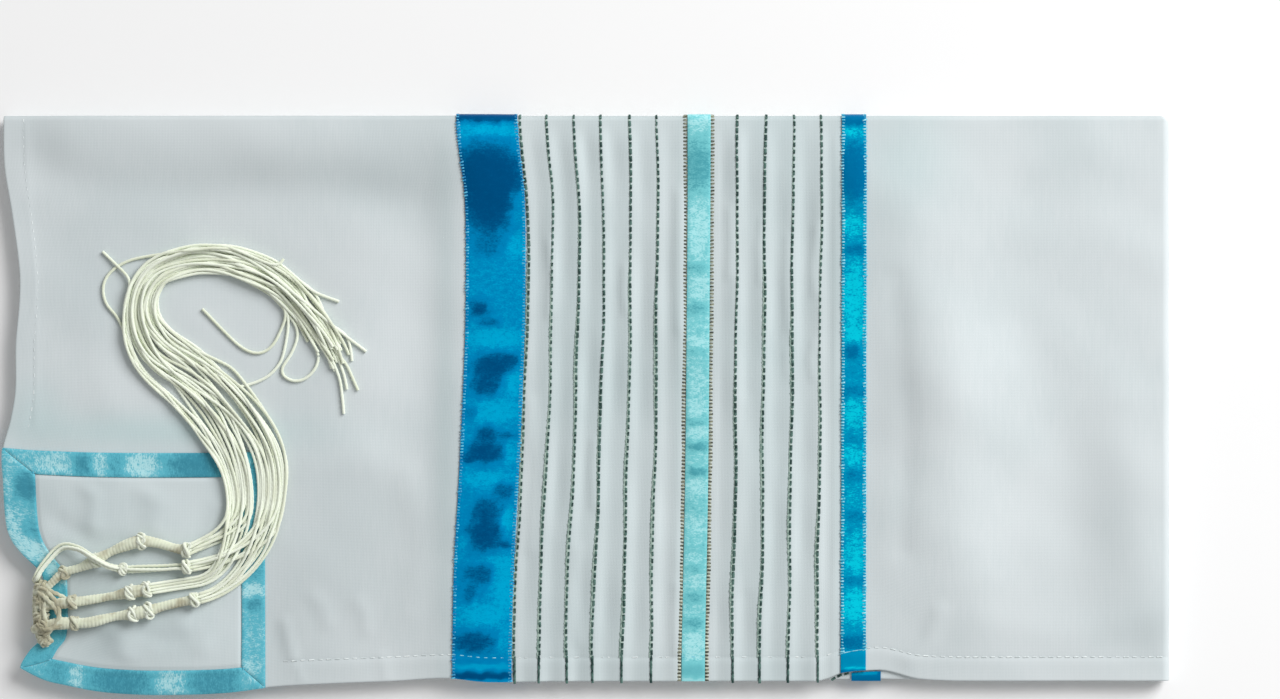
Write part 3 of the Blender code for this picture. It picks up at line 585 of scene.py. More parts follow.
def softSpots(x, y, spots):
    total = np.zeros(np.shape(x))
    for placeX, placeY, halfWidth, halfHeight, value in spots:
        total = total + value * np.exp(-(((x - placeX) / halfWidth) ** 2) - ((y - placeY) / halfHeight) ** 2)
    return total


def shadeAlongStripes(across):
    total = np.zeros(np.shape(across))
    left = stripes + lightRibbonEdges[:1]
    right = lightRibbonEdges[1:] + stripesRight + narrowRibbonEdges[:1]
    for lines in (left, right):
        for start, end in zip(lines, lines[1:]):
            share = np.clip((across - start) / (end - start), 0.0, 1.0)
            total = total + stripeShade * share**2 * (share < 1.0)
    return total


def edgeDrop(across, up):
    # the hem's rounded edge
    radius = cloth["edgeRadius"]
    inside = np.clip(radius - np.minimum(across, up), 0.0, radius)
    return radius - np.sqrt(radius**2 - inside**2)


def makeClothTop():
    rolledEnd = [flatEnd + packet["endRoll"] * math.pi / 2 * i / 8 for i in range(1, 9)]
    rolledTop = [flatTop + packet["topRoll"] * math.pi / 2 * i / 7 for i in range(1, 8)]
    hemRows = [0.0, 0.12, 0.32, 0.6, 1.2, 2.4, 4.2, 6.2, 8.2]
    rows = np.array(hemRows + list(steps(9.3, 0.45, 11.8, 1.4, 16.0, 2.0, flatTop)) + rolledTop)
    rows = np.append(rows, [rows[-1] + 0.6, rows[-1] + packet["topDrop"] - packet["topRoll"]])
    left = [0.0, 0.12, 0.32, 0.6, 1.2, 2.4, 4.2, 5.8]
    middle = list(steps(7.0, 0.5, 10.0, 2.0, 183.0, 1.55, 358.0, 2.1, flatEnd))
    columns = np.array(left + middle + rolledEnd)
    columns = np.append(columns, [columns[-1] + 1.2, columns[-1] + packet["endDrop"] - packet["endRoll"]])
    across, up = np.meshgrid(columns, rows)
    drop = edgeDrop(across, up)
    relief = hemRelief(across, up) + stripeRelief(across, up)
    outer = facePoints(across, up, 0.0, relief - drop)
    inner = facePoints(across, up, -packet["cloth"], drop)
    uv = np.stack([across, up], -1) * mm
    x, y = outer[..., 0], outer[..., 1]
    # painted shade: a little everywhere, more in the listed spots and across each stripe, less in the painted
    # lights
    shade = 0.12 + softSpots(x, y, clothShades) - softSpots(x, y, paintedClothLights) + shadeAlongStripes(across)
    shade = np.clip(shade, 0.0, 1.0)
    values = {"shade": shade, "glow": softSpots(x, y, clothGlows)}
    mesh = shellMesh("shawl_cloth", outer, inner, uv, values, sharpFrom=55)
    return linkPiece("shawl_cloth", mesh, "cloth")


clothTop = makeClothTop()
print("cloth made:", len(clothTop.data.polygons), "faces")


# The seven layers below

layers = {
    "count": 7,
    "thickness": 0.886,
    "hemInsets": (0.7, 1.2, 0.5, 1.4, 0.8, 1.1, 0.6),
    "groove": 1.5,
    "foldInset": 0.9,
    "pointStep": 2.6,
    "ringsPerLayer": 6,
    "wobble": 0.35,
    "seed": 11,
}


def underRoll(height, radius):
    room = radius - packet["cloth"] - 0.5
    above = np.maximum(0.0, height - (packet["face"] - radius))
    return radius - np.sqrt(np.maximum(0.0, room**2 - above**2))


def bulge(height, low, high, depth):
    # how far in a rounded edge between two heights stands, from 0 at its middle
    side = np.clip((2 * height - low - high) / (high - low), -1.0, 1.0)
    return depth * (1.0 - np.sqrt(1.0 - side**2))


def sideInset(side, height, wobbles):
    thick = layers["thickness"]
    layer = np.clip((height / thick).astype(int), 0, layers["count"] - 1)
    hemmed = bulge(height, layer * thick, (layer + 1) * thick, layers["groove"])
    hemmed = hemmed + np.array(layers["hemInsets"])[layer] + wobbles
    if side == "lower":
        return hemmed
    if side == "left":  # four layers turn here as one fold inside another
        turned = layers["foldInset"] + bulge(height, 0.0, 4 * thick, 1.6) + wobbles[:1] * 0.6
        return np.where(height < 4 * thick, turned, hemmed)
    if side == "end":
        below = packet["face"] - packet["endDrop"] - 0.5
        plain = layers["foldInset"] + bulge(height, -0.4, 4.2, 1.4) + 0.5 * wobbles[:1]
        return np.where(height > below, np.maximum(plain, underRoll(height, packet["endRoll"])), plain)
    pair = (height / (2 * thick)).astype(int)
    plain = layers["foldInset"] + bulge(height, pair * 2 * thick, (pair + 1) * 2 * thick, 1.7) + 0.6 * wobbles
    below = packet["face"] - packet["topDrop"] - 0.5
    return np.where(height > below, np.maximum(plain, underRoll(height, packet["topRoll"])), plain)


underCreases = (
    (((60.0, 30.0), (110.0, 120.0), (96.0, 214.0)), 5.0, 0.5),
    (((180.0, 12.0), (196.0, 90.0), (188.0, 150.0)), 3.0, 0.4),
    (((238.0, 60.0), (262.0, 170.0), (256.0, 226.0)), 6.0, 0.55),
    (((330.0, 20.0), (322.0, 76.0)), 2.6, 0.35), (((352.0, 220.0), (392.0, 140.0), (400.0, 60.0)), 7.0, 0.6),
    (((420.0, 30.0), (462.0, 84.0)), 3.4, 0.4), (((20.0, 112.0), (150.0, 119.0), (300.0, 114.0)), 2.6, 0.45),
    (((140.0, 70.0), (170.0, 60.0)), 2.6, 0.3), (((300.0, 190.0), (318.0, 176.0)), 2.6, 0.3),
)


def makeUnderside(ring, acrossCount, upCount, start):
    # a grid of faces that fills the lowest ring, whose places run down the left side and on round
    numbers = start + np.arange((upCount + 1) * (acrossCount + 1)).reshape(upCount + 1, acrossCount + 1)
    numbers[::-1, 0][:-1] = np.arange(upCount)
    numbers[0, :-1] = upCount + np.arange(acrossCount)
    numbers[:-1, -1] = upCount + acrossCount + np.arange(upCount)
    numbers[-1, ::-1][:-1] = 2 * upCount + acrossCount + np.arange(acrossCount)
    u = np.linspace(0.0, 1.0, acrossCount + 1)[None, :, None]
    v = np.linspace(0.0, 1.0, upCount + 1)[:, None, None]
    lower, upper = ring[numbers[0]][None], ring[numbers[-1]][None]
    left, right = ring[numbers[:, 0]][:, None], ring[numbers[:, -1]][:, None]
    lowerCorners = (1 - u) * lower[:, :1] + u * lower[:, -1:]
    upperCorners = (1 - u) * upper[:, :1] + u * upper[:, -1:]
    corners = (1 - v) * lowerCorners + v * upperCorners
    grid = (1 - v) * lower + v * upper + (1 - u) * left + u * right - corners
    x, y = grid[..., 0], grid[..., 1]
    fromEnds, fromSides = np.minimum(u, 1 - u) * packet["length"], np.minimum(v, 1 - v) * packet["width"]
    held = ease(np.minimum(fromEnds, fromSides) / 14.0)
    for places, halfWidth, rise in underCreases:
        grid[..., 2] += ridge(x, y, places, halfWidth, rise) * held[..., 0]
    faces = np.stack([numbers[:-1, :-1], numbers[1:, :-1], numbers[1:, 1:], numbers[:-1, 1:]], -1)
    return grid.reshape(-1, 3), faces.reshape(-1, 4).tolist()


def makeFoldedLayers():
    random = np.random.default_rng(layers["seed"])
    acrossSteps = steps(0.0, layers["pointStep"], packet["length"])[:-1]
    upSteps = steps(0.0, layers["pointStep"], packet["width"])[:-1]
    sides = [
        ("left", np.zeros(len(upSteps)), packet["width"] - upSteps),
        ("lower", acrossSteps, np.zeros(len(acrossSteps))),
        ("end", np.full(len(upSteps), packet["length"]), upSteps),
        ("top", packet["length"] - acrossSteps, np.full(len(acrossSteps), packet["width"])),
    ]
    across = np.concatenate([s[1] for s in sides])
    up = np.concatenate([s[2] for s in sides])
    x, y = plan(across, up, lifted=False)
    outline = np.stack([x, y], -1)
    run = np.roll(outline, -1, 0) - np.roll(outline, 1, 0)
    run /= np.linalg.norm(run, axis=1, keepdims=True)
    inwards = np.stack([-run[:, 1], run[:, 0]], -1)
    travelled = np.concatenate([[0.0], np.cumsum(np.linalg.norm(np.diff(outline, axis=0), axis=1))])
    total = travelled[-1] + np.linalg.norm(outline[0] - outline[-1])
    count = len(outline)
    starts = np.cumsum([0] + [len(side[1]) for side in sides])
    spans = {side[0]: slice(first, last) for side, first, last in zip(sides, starts, starts[1:])}
    blockTop = layers["count"] * layers["thickness"]
    # each layer's edge wanders in its own way
    wander = np.zeros((layers["count"], count))
    for layer in range(layers["count"]):
        for cycles in (5, 9, 14, 23, 37):
            size = layers["wobble"] * (5.0 / cycles) ** 0.4
            phase = random.uniform(0, 2 * math.pi)
            wander[layer] += size * np.sin(2 * math.pi * cycles * travelled / total + phase)
    wander = np.abs(wander) * 0.8
    ringCount = layers["count"] * layers["ringsPerLayer"]
    shares = np.concatenate([
        layer + 0.5 - 0.5 * np.cos(math.pi * np.arange(layers["ringsPerLayer"]) / layers["ringsPerLayer"])
        for layer in range(layers["count"])
    ] + [[layers["count"]]])
    heights = shares / layers["count"] * blockTop
    rings = []
    insets = np.zeros((ringCount + 1, count))
    for name, span in spans.items():
        for ring, height in enumerate(heights):
            layer = min(int(shares[ring]), layers["count"] - 1)
            at = np.full(span.stop - span.start, height)
            insets[ring, span] = sideInset(name, at, wander[layer, span])
    soft = np.array([1, 2, 3, 2, 1]) / 9.0
    insets = sum(w * np.roll(insets, k - 2, axis=1) for k, w in enumerate(soft))
    for ring, height in enumerate(heights):
        flat = outline + inwards * insets[ring][:, None]
        lift = 0.07 * np.sin(travelled / 23.0 + ring) * (0 < ring < ringCount)
        rings.append(np.concatenate([flat, (height + lift * np.ones(count))[:, None]], 1))
    points = np.concatenate(rings)
    number = np.arange(len(points)).reshape(ringCount + 1, count)
    following = np.roll(number, -1, axis=1)
    faces = np.stack([number[:-1], following[:-1], following[1:], number[1:]], -1).reshape(-1, 4).tolist()
    faces.append(number[-1].tolist())
    uv = np.stack([np.tile(travelled, ringCount + 1), np.repeat(heights, count)], -1)
    under, underFaces = makeUnderside(rings[0], len(acrossSteps), len(upSteps), len(points))
    everyPoint = np.concatenate([points, under])
    uv = np.concatenate([uv, under[:, :2]]) * mm
    mesh = meshFrom("folded_layers", everyPoint, faces + underFaces, uv, sharpFrom=60)
    byRing = points.reshape(ringCount + 1, count, 3)
    sideRings = {name: byRing[:, span] for name, span in spans.items()}
    return linkPiece("folded_layers", mesh, "cloth"), sideRings


foldedLayers, layerSides = makeFoldedLayers()
print("layers made:", len(foldedLayers.data.polygons), "faces")


# Satin ribbons. A shine is a painted highlight or painted shade: a place (share across, y,
# half share, half height) and its tone, 0 dark to 1 bright.

wideRibbon = {
    "name": "wide_ribbon", "replaces": "ribbon_wide", "edges": wideRibbonEdges, "finish": "wideSatin",
    "lowest": 0.25, "thickness": 0.45, "columns": 25, "rowStep": 1.1, "puff": 0.45, "hemStitch": 15.8,
    "base": 0.6, "seed": 3,
    "shines": (
        (0.5, 237.0, 0.9, 2.6, 0.02), (0.55, 231.3, 0.7, 2.4, 0.98), (0.1, 229.6, 0.1, 3.2, 0.8),
        (0.46, 214.0, 0.66, 13.6, 0.02),
        (0.38, 202.0, 0.46, 15.5, 0.04), (0.92, 203.0, 0.14, 3.0, 0.55), (0.9, 196.0, 0.16, 3.0, 0.6),
        (0.38, 184.0, 0.26, 5.0, 0.25), (0.85, 183.5, 0.2, 5.5, 0.8),
        (0.45, 172.0, 0.5, 6.5, 0.62), (0.25, 158.5, 0.2, 3.8, 0.08), (0.7, 160.0, 0.3, 4.0, 0.6),
        (0.4, 152.5, 0.2, 2.2, 0.2), (0.5, 146.0, 0.5, 4.2, 0.92), (0.47, 134.5, 0.36, 6.4, 0.06),
        (0.75, 137.0, 0.16, 3.8, 0.1), (0.36, 127.0, 0.24, 5.6, 0.1), (0.84, 127.5, 0.13, 5.5, 0.88),
        (0.55, 116.5, 0.42, 4.8, 0.88), (0.12, 116.0, 0.12, 3.0, 0.35), (0.44, 107.0, 0.2, 3.6, 0.12),
        (0.4, 99.5, 0.36, 5.0, 0.06), (0.78, 106.5, 0.16, 1.5, 0.18), (0.15, 97.0, 0.14, 2.0, 0.12),
        (0.85, 99.0, 0.1, 5.0, 0.78), (0.5, 88.5, 0.44, 3.2, 0.86), (0.76, 83.5, 0.2, 4.0, 0.18),
        (0.46, 76.0, 0.3, 5.2, 0.14), (0.12, 79.0, 0.12, 7.0, 0.55), (0.48, 66.0, 0.34, 8.0, 0.07),
        (0.86, 71.5, 0.1, 5.5, 0.9), (0.8, 61.5, 0.18, 1.6, 0.12), (0.12, 62.5, 0.12, 3.0, 0.7),
        (0.75, 54.0, 0.3, 3.4, 0.84), (0.42, 49.5, 0.3, 4.6, 0.16), (0.28, 41.5, 0.16, 4.5, 0.22),
        (0.86, 44.0, 0.18, 10.0, 0.92), (0.5, 33.0, 0.42, 4.6, 0.88), (0.34, 21.5, 0.4, 5.2, 0.12),
        (0.88, 22.0, 0.14, 6.0, 0.72), (0.5, 14.4, 0.7, 1.2, 0.34), (0.46, 11.6, 0.6, 1.2, 0.8),
        (0.5, 8.0, 0.9, 1.7, 0.05),
    ),
}
lightRibbon = {
    "name": "light_ribbon", "replaces": "ribbon_light", "edges": lightRibbonEdges, "finish": "lightSatin",
    "lowest": 0.25, "thickness": 0.45, "columns": 12, "rowStep": 1.1, "puff": 0.35, "hemStitch": 13.4,
    "base": 0.58, "seed": 5,
    "shines": (
        (0.5, 235.0, 0.6, 3.4, 0.8), (0.5, 216.5, 0.7, 11.5, 0.16), (0.5, 191.0, 0.42, 12.5, 0.85),
        (0.45, 175.5, 0.5, 2.0, 0.3), (0.55, 167.0, 0.4, 5.0, 0.82), (0.45, 158.5, 0.5, 2.2, 0.25),
        (0.5, 151.0, 0.4, 3.0, 0.6), (0.5, 145.0, 0.4, 2.8, 0.88), (0.5, 141.0, 0.5, 1.4, 0.42),
        (0.5, 129.0, 0.4, 6.0, 0.72), (0.5, 118.0, 0.4, 4.0, 0.8), (0.5, 111.8, 0.5, 1.5, 0.3),
        (0.5, 107.5, 0.45, 2.6, 0.85), (0.55, 102.0, 0.5, 2.2, 0.1), (0.5, 96.6, 0.4, 2.2, 0.6),
        (0.55, 91.6, 0.45, 2.2, 0.1), (0.5, 85.6, 0.45, 3.0, 0.88), (0.5, 77.0, 0.5, 2.0, 0.5),
        (0.5, 69.5, 0.4, 3.5, 0.78), (0.5, 59.6, 0.5, 1.6, 0.45), (0.5, 56.5, 0.4, 2.0, 0.74),
        (0.45, 52.0, 0.5, 1.2, 0.34), (0.5, 47.0, 0.45, 2.6, 0.8), (0.5, 39.8, 0.5, 2.2, 0.26),
        (0.4, 34.5, 0.4, 2.0, 0.66), (0.5, 29.4, 0.5, 2.2, 0.2), (0.5, 20.5, 0.42, 5.6, 0.92),
        (0.5, 10.0, 0.9, 3.2, 0.3), (0.5, 6.2, 0.9, 1.0, 0.75),
    ),
}
narrowRibbon = {
    "name": "narrow_ribbon", "replaces": "ribbon_narrow", "edges": narrowRibbonEdges, "finish": "narrowSatin",
    "lowest": 0.25, "thickness": 0.45, "columns": 12, "rowStep": 1.1, "puff": 0.35, "hemStitch": 17.8,
    "base": 0.56, "seed": 7,
    "shines": (
        (0.5, 236.4, 0.9, 3.2, 0.04), (0.45, 230.6, 0.42, 2.2, 1.0), (0.5, 214.5, 0.8, 13.5, 0.05),
        (0.45, 193.0, 0.4, 4.6, 0.82), (0.55, 182.5, 0.5, 2.6, 0.14), (0.5, 163.0, 0.42, 14.0, 0.92),
        (0.5, 148.5, 0.42, 3.5, 0.96), (0.42, 140.5, 0.34, 3.2, 0.1), (0.6, 132.5, 0.5, 3.5, 0.45),
        (0.5, 124.4, 0.6, 2.4, 0.22), (0.5, 115.5, 0.42, 6.0, 0.84), (0.5, 104.8, 0.5, 2.0, 0.4),
        (0.52, 98.0, 0.4, 3.8, 0.84), (0.55, 90.2, 0.5, 2.6, 0.28), (0.45, 81.0, 0.4, 4.0, 0.62),
        (0.6, 73.2, 0.5, 2.2, 0.28), (0.55, 58.5, 0.4, 8.0, 0.78), (0.55, 54.0, 0.3, 2.5, 0.95),
        (0.5, 46.6, 0.6, 2.0, 0.25), (0.55, 36.5, 0.4, 7.0, 0.96), (0.5, 21.8, 0.8, 3.4, 0.14),
        (0.5, 14.6, 0.9, 3.4, 0.36), (0.5, 11.0, 0.9, 0.55, 0.9), (0.5, 8.9, 0.9, 1.4, 0.0),
    ),
}


def wovenNoise(seed, first, second, lengths=(9.0, 5.0, 3.0)):
    # soft uneven waves over a grid, about -1 to 1
    random = np.random.default_rng(seed)
    total = np.zeros(np.broadcast(first, second).shape)
    for length in lengths:
        for _ in range(3):
            angle, phase = random.uniform(0, math.pi), random.uniform(0, 2 * math.pi)
            run = first * math.cos(angle) + second * math.sin(angle)
            total = total + np.sin(2 * math.pi * run / length + phase) / 3.0
    return total / len(lengths)


def paintShines(share, y, width, base, shines, seed):
    tone = base + 0.12 * wovenNoise(seed, share * width, y)
    wrinkle = wovenNoise(seed + 1, share * width, y, (7.0, 4.0))
    sideWrinkle = wovenNoise(seed + 2, share * width, y, (7.0, 4.0))
    for place, height, halfShare, halfHeight, value in shines:
        reach = np.hypot(
            (share + 0.07 * wrinkle - place) / halfShare, (y + sideWrinkle - height) / halfHeight
        )
        weight = 1.0 / (1.0 + np.exp((np.minimum(reach, 9.0) - 0.95) * 5.5))
        tone = tone * (1.0 - weight) + value * weight
    return np.clip(tone, 0.0, 1.0)


def makeRibbon(settings):
    start, end = settings["edges"]
    width = end - start
    rolled = [flatTop + packet["topRoll"] * math.pi / 2 * i / 6 for i in range(1, 7)]
    rows = np.array(list(steps(0.15, 0.55, 2.0, settings["rowStep"], flatTop)) + rolled)
    rows = np.append(rows, rows[-1] + packet["topDrop"] - packet["topRoll"])
    shares = np.concatenate([[0.0, 0.012], steps(0.03, 1.0 / settings["columns"], 0.97), [0.988, 1.0]])
    across, up = np.meshgrid(start + width * shares, rows)
    share = np.broadcast_to(shares, across.shape)
    y = plan(np.minimum(across, flatEnd), np.minimum(up, flatTop))[1]
    turned = np.clip((up - flatTop) / packet["topRoll"], 0.0, math.pi / 2)
    seenY = y + packet["topRoll"] * np.sin(turned)  # as high as it is seen from above
    tone = paintShines(share, seenY, width, settings["base"], settings["shines"], settings["seed"])
    middle = np.sin(math.pi * share) ** 0.7
    stitched = np.exp(-(((y - settings["hemStitch"]) / 0.8) ** 2))
    above = ease((y - settings["hemStitch"]) / 6.0) * ease((flatTop - up) / 16.0)
    lumps = (1.1 - tone) * (0.35 + 0.65 * above)
    lumps = lumps + 0.25 * wovenNoise(settings["seed"] + 4, share * width, y, (13.0, 6.0))
    relief = hemRelief(across, up) + settings["puff"] * middle * lumps * (1.0 - stitched)
    rim = 0.16 * np.exp(-np.minimum(share, 1.0 - share) * width / 0.25)
    top = settings["lowest"] + settings["thickness"]
    outer = facePoints(across, up, top, relief - rim)
    inner = facePoints(across, up, settings["lowest"] - 0.1, hemRelief(across, up))
    fold = np.clip(1.0 - above * 4.0, 0.0, 1.0) * (y < settings["hemStitch"])
    uv = np.stack([across, up], -1) * mm
    mesh = shellMesh(settings["name"], outer, inner, uv, {"tone": tone, "plain": 0.85 * fold}, 50)
    return linkPiece(settings["name"], mesh, settings["finish"])


ribbons = [makeRibbon(settings) for settings in (wideRibbon, lightRibbon, narrowRibbon)]
print("ribbons made:", len(ribbons))


# The end of the next layer's ribbon, under the lifted hem

ribbonTab = {"left": 348.4, "right": 360.4, "bottom": 5.6, "lowest": 0.3, "thickness": 0.5, "clear": 0.5}


def makeRibbonTab():
    shares, depths = np.meshgrid(np.linspace(0.0, 1.0, 15), np.linspace(0.0, 1.0, 6))
    x = ribbonTab["left"] + (ribbonTab["right"] - ribbonTab["left"]) * shares
    top = readTable(lowerEdge, x) + readTable(liftedHem, x) - ribbonTab["clear"]
    y = ribbonTab["bottom"] + (top - ribbonTab["bottom"]) * depths
    base = layers["count"] * layers["thickness"] + ribbonTab["lowest"]
    crown = 0.18 * np.sin(math.pi * shares) * np.sin(math.pi * depths)
    inner = np.stack([x, y, np.full(x.shape, base)], -1)
    outer = np.stack([x, y, base + ribbonTab["thickness"] + crown], -1)
    inner[..., 2] -= 0.35 * (1.0 - depths) ** 3
    outer[..., 2] -= 0.5 * (1.0 - depths) ** 3
    # painted highlight near its upper edge and painted shade over its right end, where it folds
    tone = 0.12 + 0.45 * np.exp(-(((depths - 0.86) / 0.16) ** 2))
    tone = tone * (1.0 - 0.9 * ease((shares - 0.84) / 0.08))
    uv = np.stack([x, y], -1) * mm
    mesh = shellMesh("ribbon_tab", outer, inner, uv, {"tone": tone, "plain": 0.7 * np.ones(x.shape)}, 50)
    return linkPiece("ribbon_tab", mesh, "narrowSatin")


ribbonEnd = makeRibbonTab()


# The same ribbons where they come round the edges of the layers below

layerRibbons = {
    "proud": 0.32,
    "sunk": 0.1,
    "step": 1.6,
    "dark": ((*wideRibbonEdges, 0.5), (*narrowRibbonEdges, 0.45)),
    "light": ((*lightRibbonEdges, 0.6),),
    "corner": ((9.0, patch["length"] + 3.0, 0.5),),
    "cornerUp": (8.0, patch["width"] + 4.0, 0.5),
    "shifts": {6: 4.2, 5: -1.8, 4: 2.6},  # each layer lies a little further along
}


def sideStrip(side, firstRing, lastRing, start, end, tone):
    # a strip of ribbon on the edge of one layer, between two places along it
    rings = layerSides[side][firstRing:lastRing + 1]
    along = 1 if side == "left" else 0
    places = steps(start, layerRibbons["step"], end)
    grids = []
    for ring in rings:
        order = np.argsort(ring[:, along])
        grids.append([np.interp(places, ring[order, along], ring[order, k]) for k in range(3)])
    surface = np.array(grids).transpose(0, 2, 1)
    outwards = {"lower": (0.0, -1.0, 0.0), "top": (0.0, 1.0, 0.0), "left": (-1.0, 0.0, 0.0)}[side]
    outer = surface + np.array(outwards) * layerRibbons["proud"]
    inner = surface - np.array(outwards) * layerRibbons["sunk"]
    share = np.linspace(0.0, 1.0, len(places))[None] * np.ones((len(rings), 1))
    deep = np.linspace(0.0, 1.0, len(rings))[:, None] * np.ones((1, len(places)))
    # painted sheen: each strip's tone, varied along it
    shine = np.clip(tone + 0.25 * wovenNoise(int(start) + firstRing, places[None], 4 * deep), 0.0, 1.0)
    uv = np.stack([share * (end - start), deep * layers["thickness"]], -1) * mm
    return shellParts(outer, inner, uv, {"tone": shine, "plain": 0.5 * np.ones(shine.shape)})


def makeLayerRibbons(name, spans, finish, corner=False):
    parts = []
    perLayer = layers["ringsPerLayer"]
    for layer, shift in layerRibbons["shifts"].items():
        for start, end, tone in spans:
            first, last = layer * perLayer, (layer + 1) * perLayer
            parts.append(sideStrip("lower", first, last, start + shift, end + shift, tone))
            if not corner and layer == 6:
                parts.append(sideStrip("top", first, last - 1, start, end, tone))
            if not corner and layer == 4:
                parts.append(sideStrip("top", first, last + perLayer, start + shift, end + shift, tone))
        if corner:
            start, end, tone = layerRibbons["cornerUp"]
            parts.append(sideStrip(
                "left", layer * perLayer, (layer + 1) * perLayer, start, end + shift, tone))
    values = {key: np.concatenate([part[3][key] for part in parts]) for key in ("tone", "plain")}
    return linkPiece(name, meshFrom(name, *joinParts(parts), values, 60), finish)


layerBands = (
    makeLayerRibbons("layer_bands_dark", layerRibbons["dark"], "wideSatin"),
    makeLayerRibbons("layer_bands_light", layerRibbons["light"], "lightSatin"),
    makeLayerRibbons("layer_bands_corner", layerRibbons["corner"], "patchSatin", corner=True),
)
print("ribbons on the layers below made:", len(layerBands))


# The corner patch: a white panel in a frame of four mitred ribbons

# painted highlights and painted shade of each band: place along it, share across, half sizes and tone
cornerShines = {
    "top": (
        (0.06, 0.5, 0.1, 0.6, 0.62), (0.2, 0.5, 0.08, 0.5, 0.8), (0.31, 0.5, 0.045, 0.5, 0.15),
        (0.375, 0.5, 0.04, 0.5, 0.82), (0.43, 0.5, 0.035, 0.6, 0.3), (0.53, 0.5, 0.07, 0.5, 0.92),
        (0.74, 0.5, 0.12, 0.8, 0.12), (0.9, 0.5, 0.06, 0.6, 0.6),
    ),
    "left": (
        (0.95, 0.5, 0.06, 0.6, 0.66), (0.84, 0.72, 0.07, 0.4, 0.1), (0.84, 0.12, 0.07, 0.2, 0.7),
        (0.73, 0.45, 0.05, 0.5, 0.6), (0.66, 0.2, 0.08, 0.3, 0.8), (0.64, 0.75, 0.06, 0.3, 0.3),
        (0.56, 0.5, 0.07, 0.6, 0.9), (0.46, 0.7, 0.05, 0.4, 0.95), (0.36, 0.5, 0.07, 0.6, 0.5),
        (0.2, 0.5, 0.08, 0.5, 0.5), (0.1, 0.5, 0.05, 0.5, 0.4),
    ),
    "right": (
        (0.9, 0.5, 0.08, 0.6, 0.3), (0.76, 0.5, 0.08, 0.5, 0.6), (0.55, 0.4, 0.1, 0.4, 0.32),
        (0.42, 0.5, 0.03, 0.5, 0.92), (0.36, 0.45, 0.03, 0.4, 0.2), (0.22, 0.5, 0.1, 0.5, 0.6),
        (0.1, 0.6, 0.04, 0.5, 0.75),
    ),
    "bottom": (
        (0.05, 0.5, 0.06, 0.5, 0.55), (0.16, 0.5, 0.04, 0.5, 0.3), (0.24, 0.5, 0.035, 0.5, 0.85),
        (0.42, 0.5, 0.14, 0.7, 0.16), (0.63, 0.5, 0.07, 0.5, 0.85), (0.8, 0.5, 0.12, 0.7, 0.2),
        (0.94, 0.5, 0.04, 0.5, 0.6),
    ),
}
cornerRibbon = {"lowest": 0.3, "thickness": 0.6, "along": 90, "across": 10, "puff": 0.3, "base": 0.5}
panel = {"lowest": 0.25, "thickness": 0.95, "under": 1.1, "cells": (84, 76)}
panelShades = (  # across, up, half width, half height, shade: painted shade on the panel
    (38.0, 80.0, 9.0, 13.0, 0.2), (62.0, 77.0, 9.0, 10.0, 0.2), (18.0, 80.0, 7.0, 9.0, 0.18),
    (36.0, 24.0, 9.0, 13.0, 0.24), (60.0, 20.0, 16.0, 7.0, 0.08), (90.0, 70.0, 7.0, 22.0, 0.1),
    (50.0, 44.0, 34.0, 16.0, 0.1), (24.0, 34.0, 8.0, 22.0, 0.1),
)
panelCreases = (
    (((33.0, 88.0), (37.0, 80.0), (36.0, 70.0)), 4.0, 0.7),
    (((58.0, 84.0), (63.0, 78.0), (61.0, 70.0)), 5.0, 0.6),
    (((22.0, 70.0), (34.0, 62.0), (46.0, 62.0)), 4.5, -0.5),
    (((30.0, 30.0), (40.0, 24.0), (48.0, 14.0)), 5.0, 0.7),
    (((70.0, 30.0), (80.0, 20.0)), 5.0, 0.5),
    (((52.0, 26.0), (64.0, 22.0), (76.0, 24.0)), 4.0, -0.4),
    (((88.0, 76.0), (84.0, 64.0), (86.0, 50.0)), 4.0, 0.5),
)


def patchPuff(across, up):
    side = np.clip((across - patch["ribbon"]) / (patch["length"] - 2 * patch["ribbon"]), 0.0, 1.0)
    rise = np.clip((up - patch["ribbon"]) / (patch["width"] - 2 * patch["ribbon"]), 0.0, 1.0)
    return patch["puff"] * np.sin(math.pi * side) * np.sin(math.pi * rise)


def panelRelief(across, up):
    inset = patch["ribbon"]
    edge = np.minimum(
        np.minimum(across - inset, patch["length"] - inset - across),
        np.minimum(up - inset, patch["width"] - inset - up),
    )
    held = ease(edge / 7.0)
    total = patchPuff(across, up)
    for places, halfWidth, rise in panelCreases:
        total = total + ridge(across, up, places, halfWidth, rise) * held
    return total


def makeCornerPanel():
    inset = patch["ribbon"] - panel["under"]  # its edges lie under the ribbons
    left = patch["leftRibbon"] - panel["under"]
    across, up = np.meshgrid(
        np.linspace(left, patch["length"] - inset, panel["cells"][0]),
        np.linspace(inset, patch["width"] - inset, panel["cells"][1]),
    )
    relief = panelRelief(across, up)
    border = np.minimum(np.minimum(across - left, patch["length"] - inset - across),
                        np.minimum(up - inset, patch["width"] - inset - up))
    tuck = 0.55 * ease(1.0 - (border - panel["under"]) / 1.2)
    outer = facePoints(across, up, panel["lowest"] + panel["thickness"], relief - tuck)
    inner = facePoints(across, up, panel["lowest"])
    # painted shade on the panel: a little everywhere and more in the listed spots
    values = {
        "shade": np.clip(0.09 + softSpots(across, up, panelShades), 0.0, 1.0),
        "glow": np.full(across.shape, 0.06),
    }
    mesh = shellMesh("corner_patch", outer, inner, np.stack([across, up], -1) * mm, values, 60)
    return linkPiece("corner_patch", mesh, "cloth")


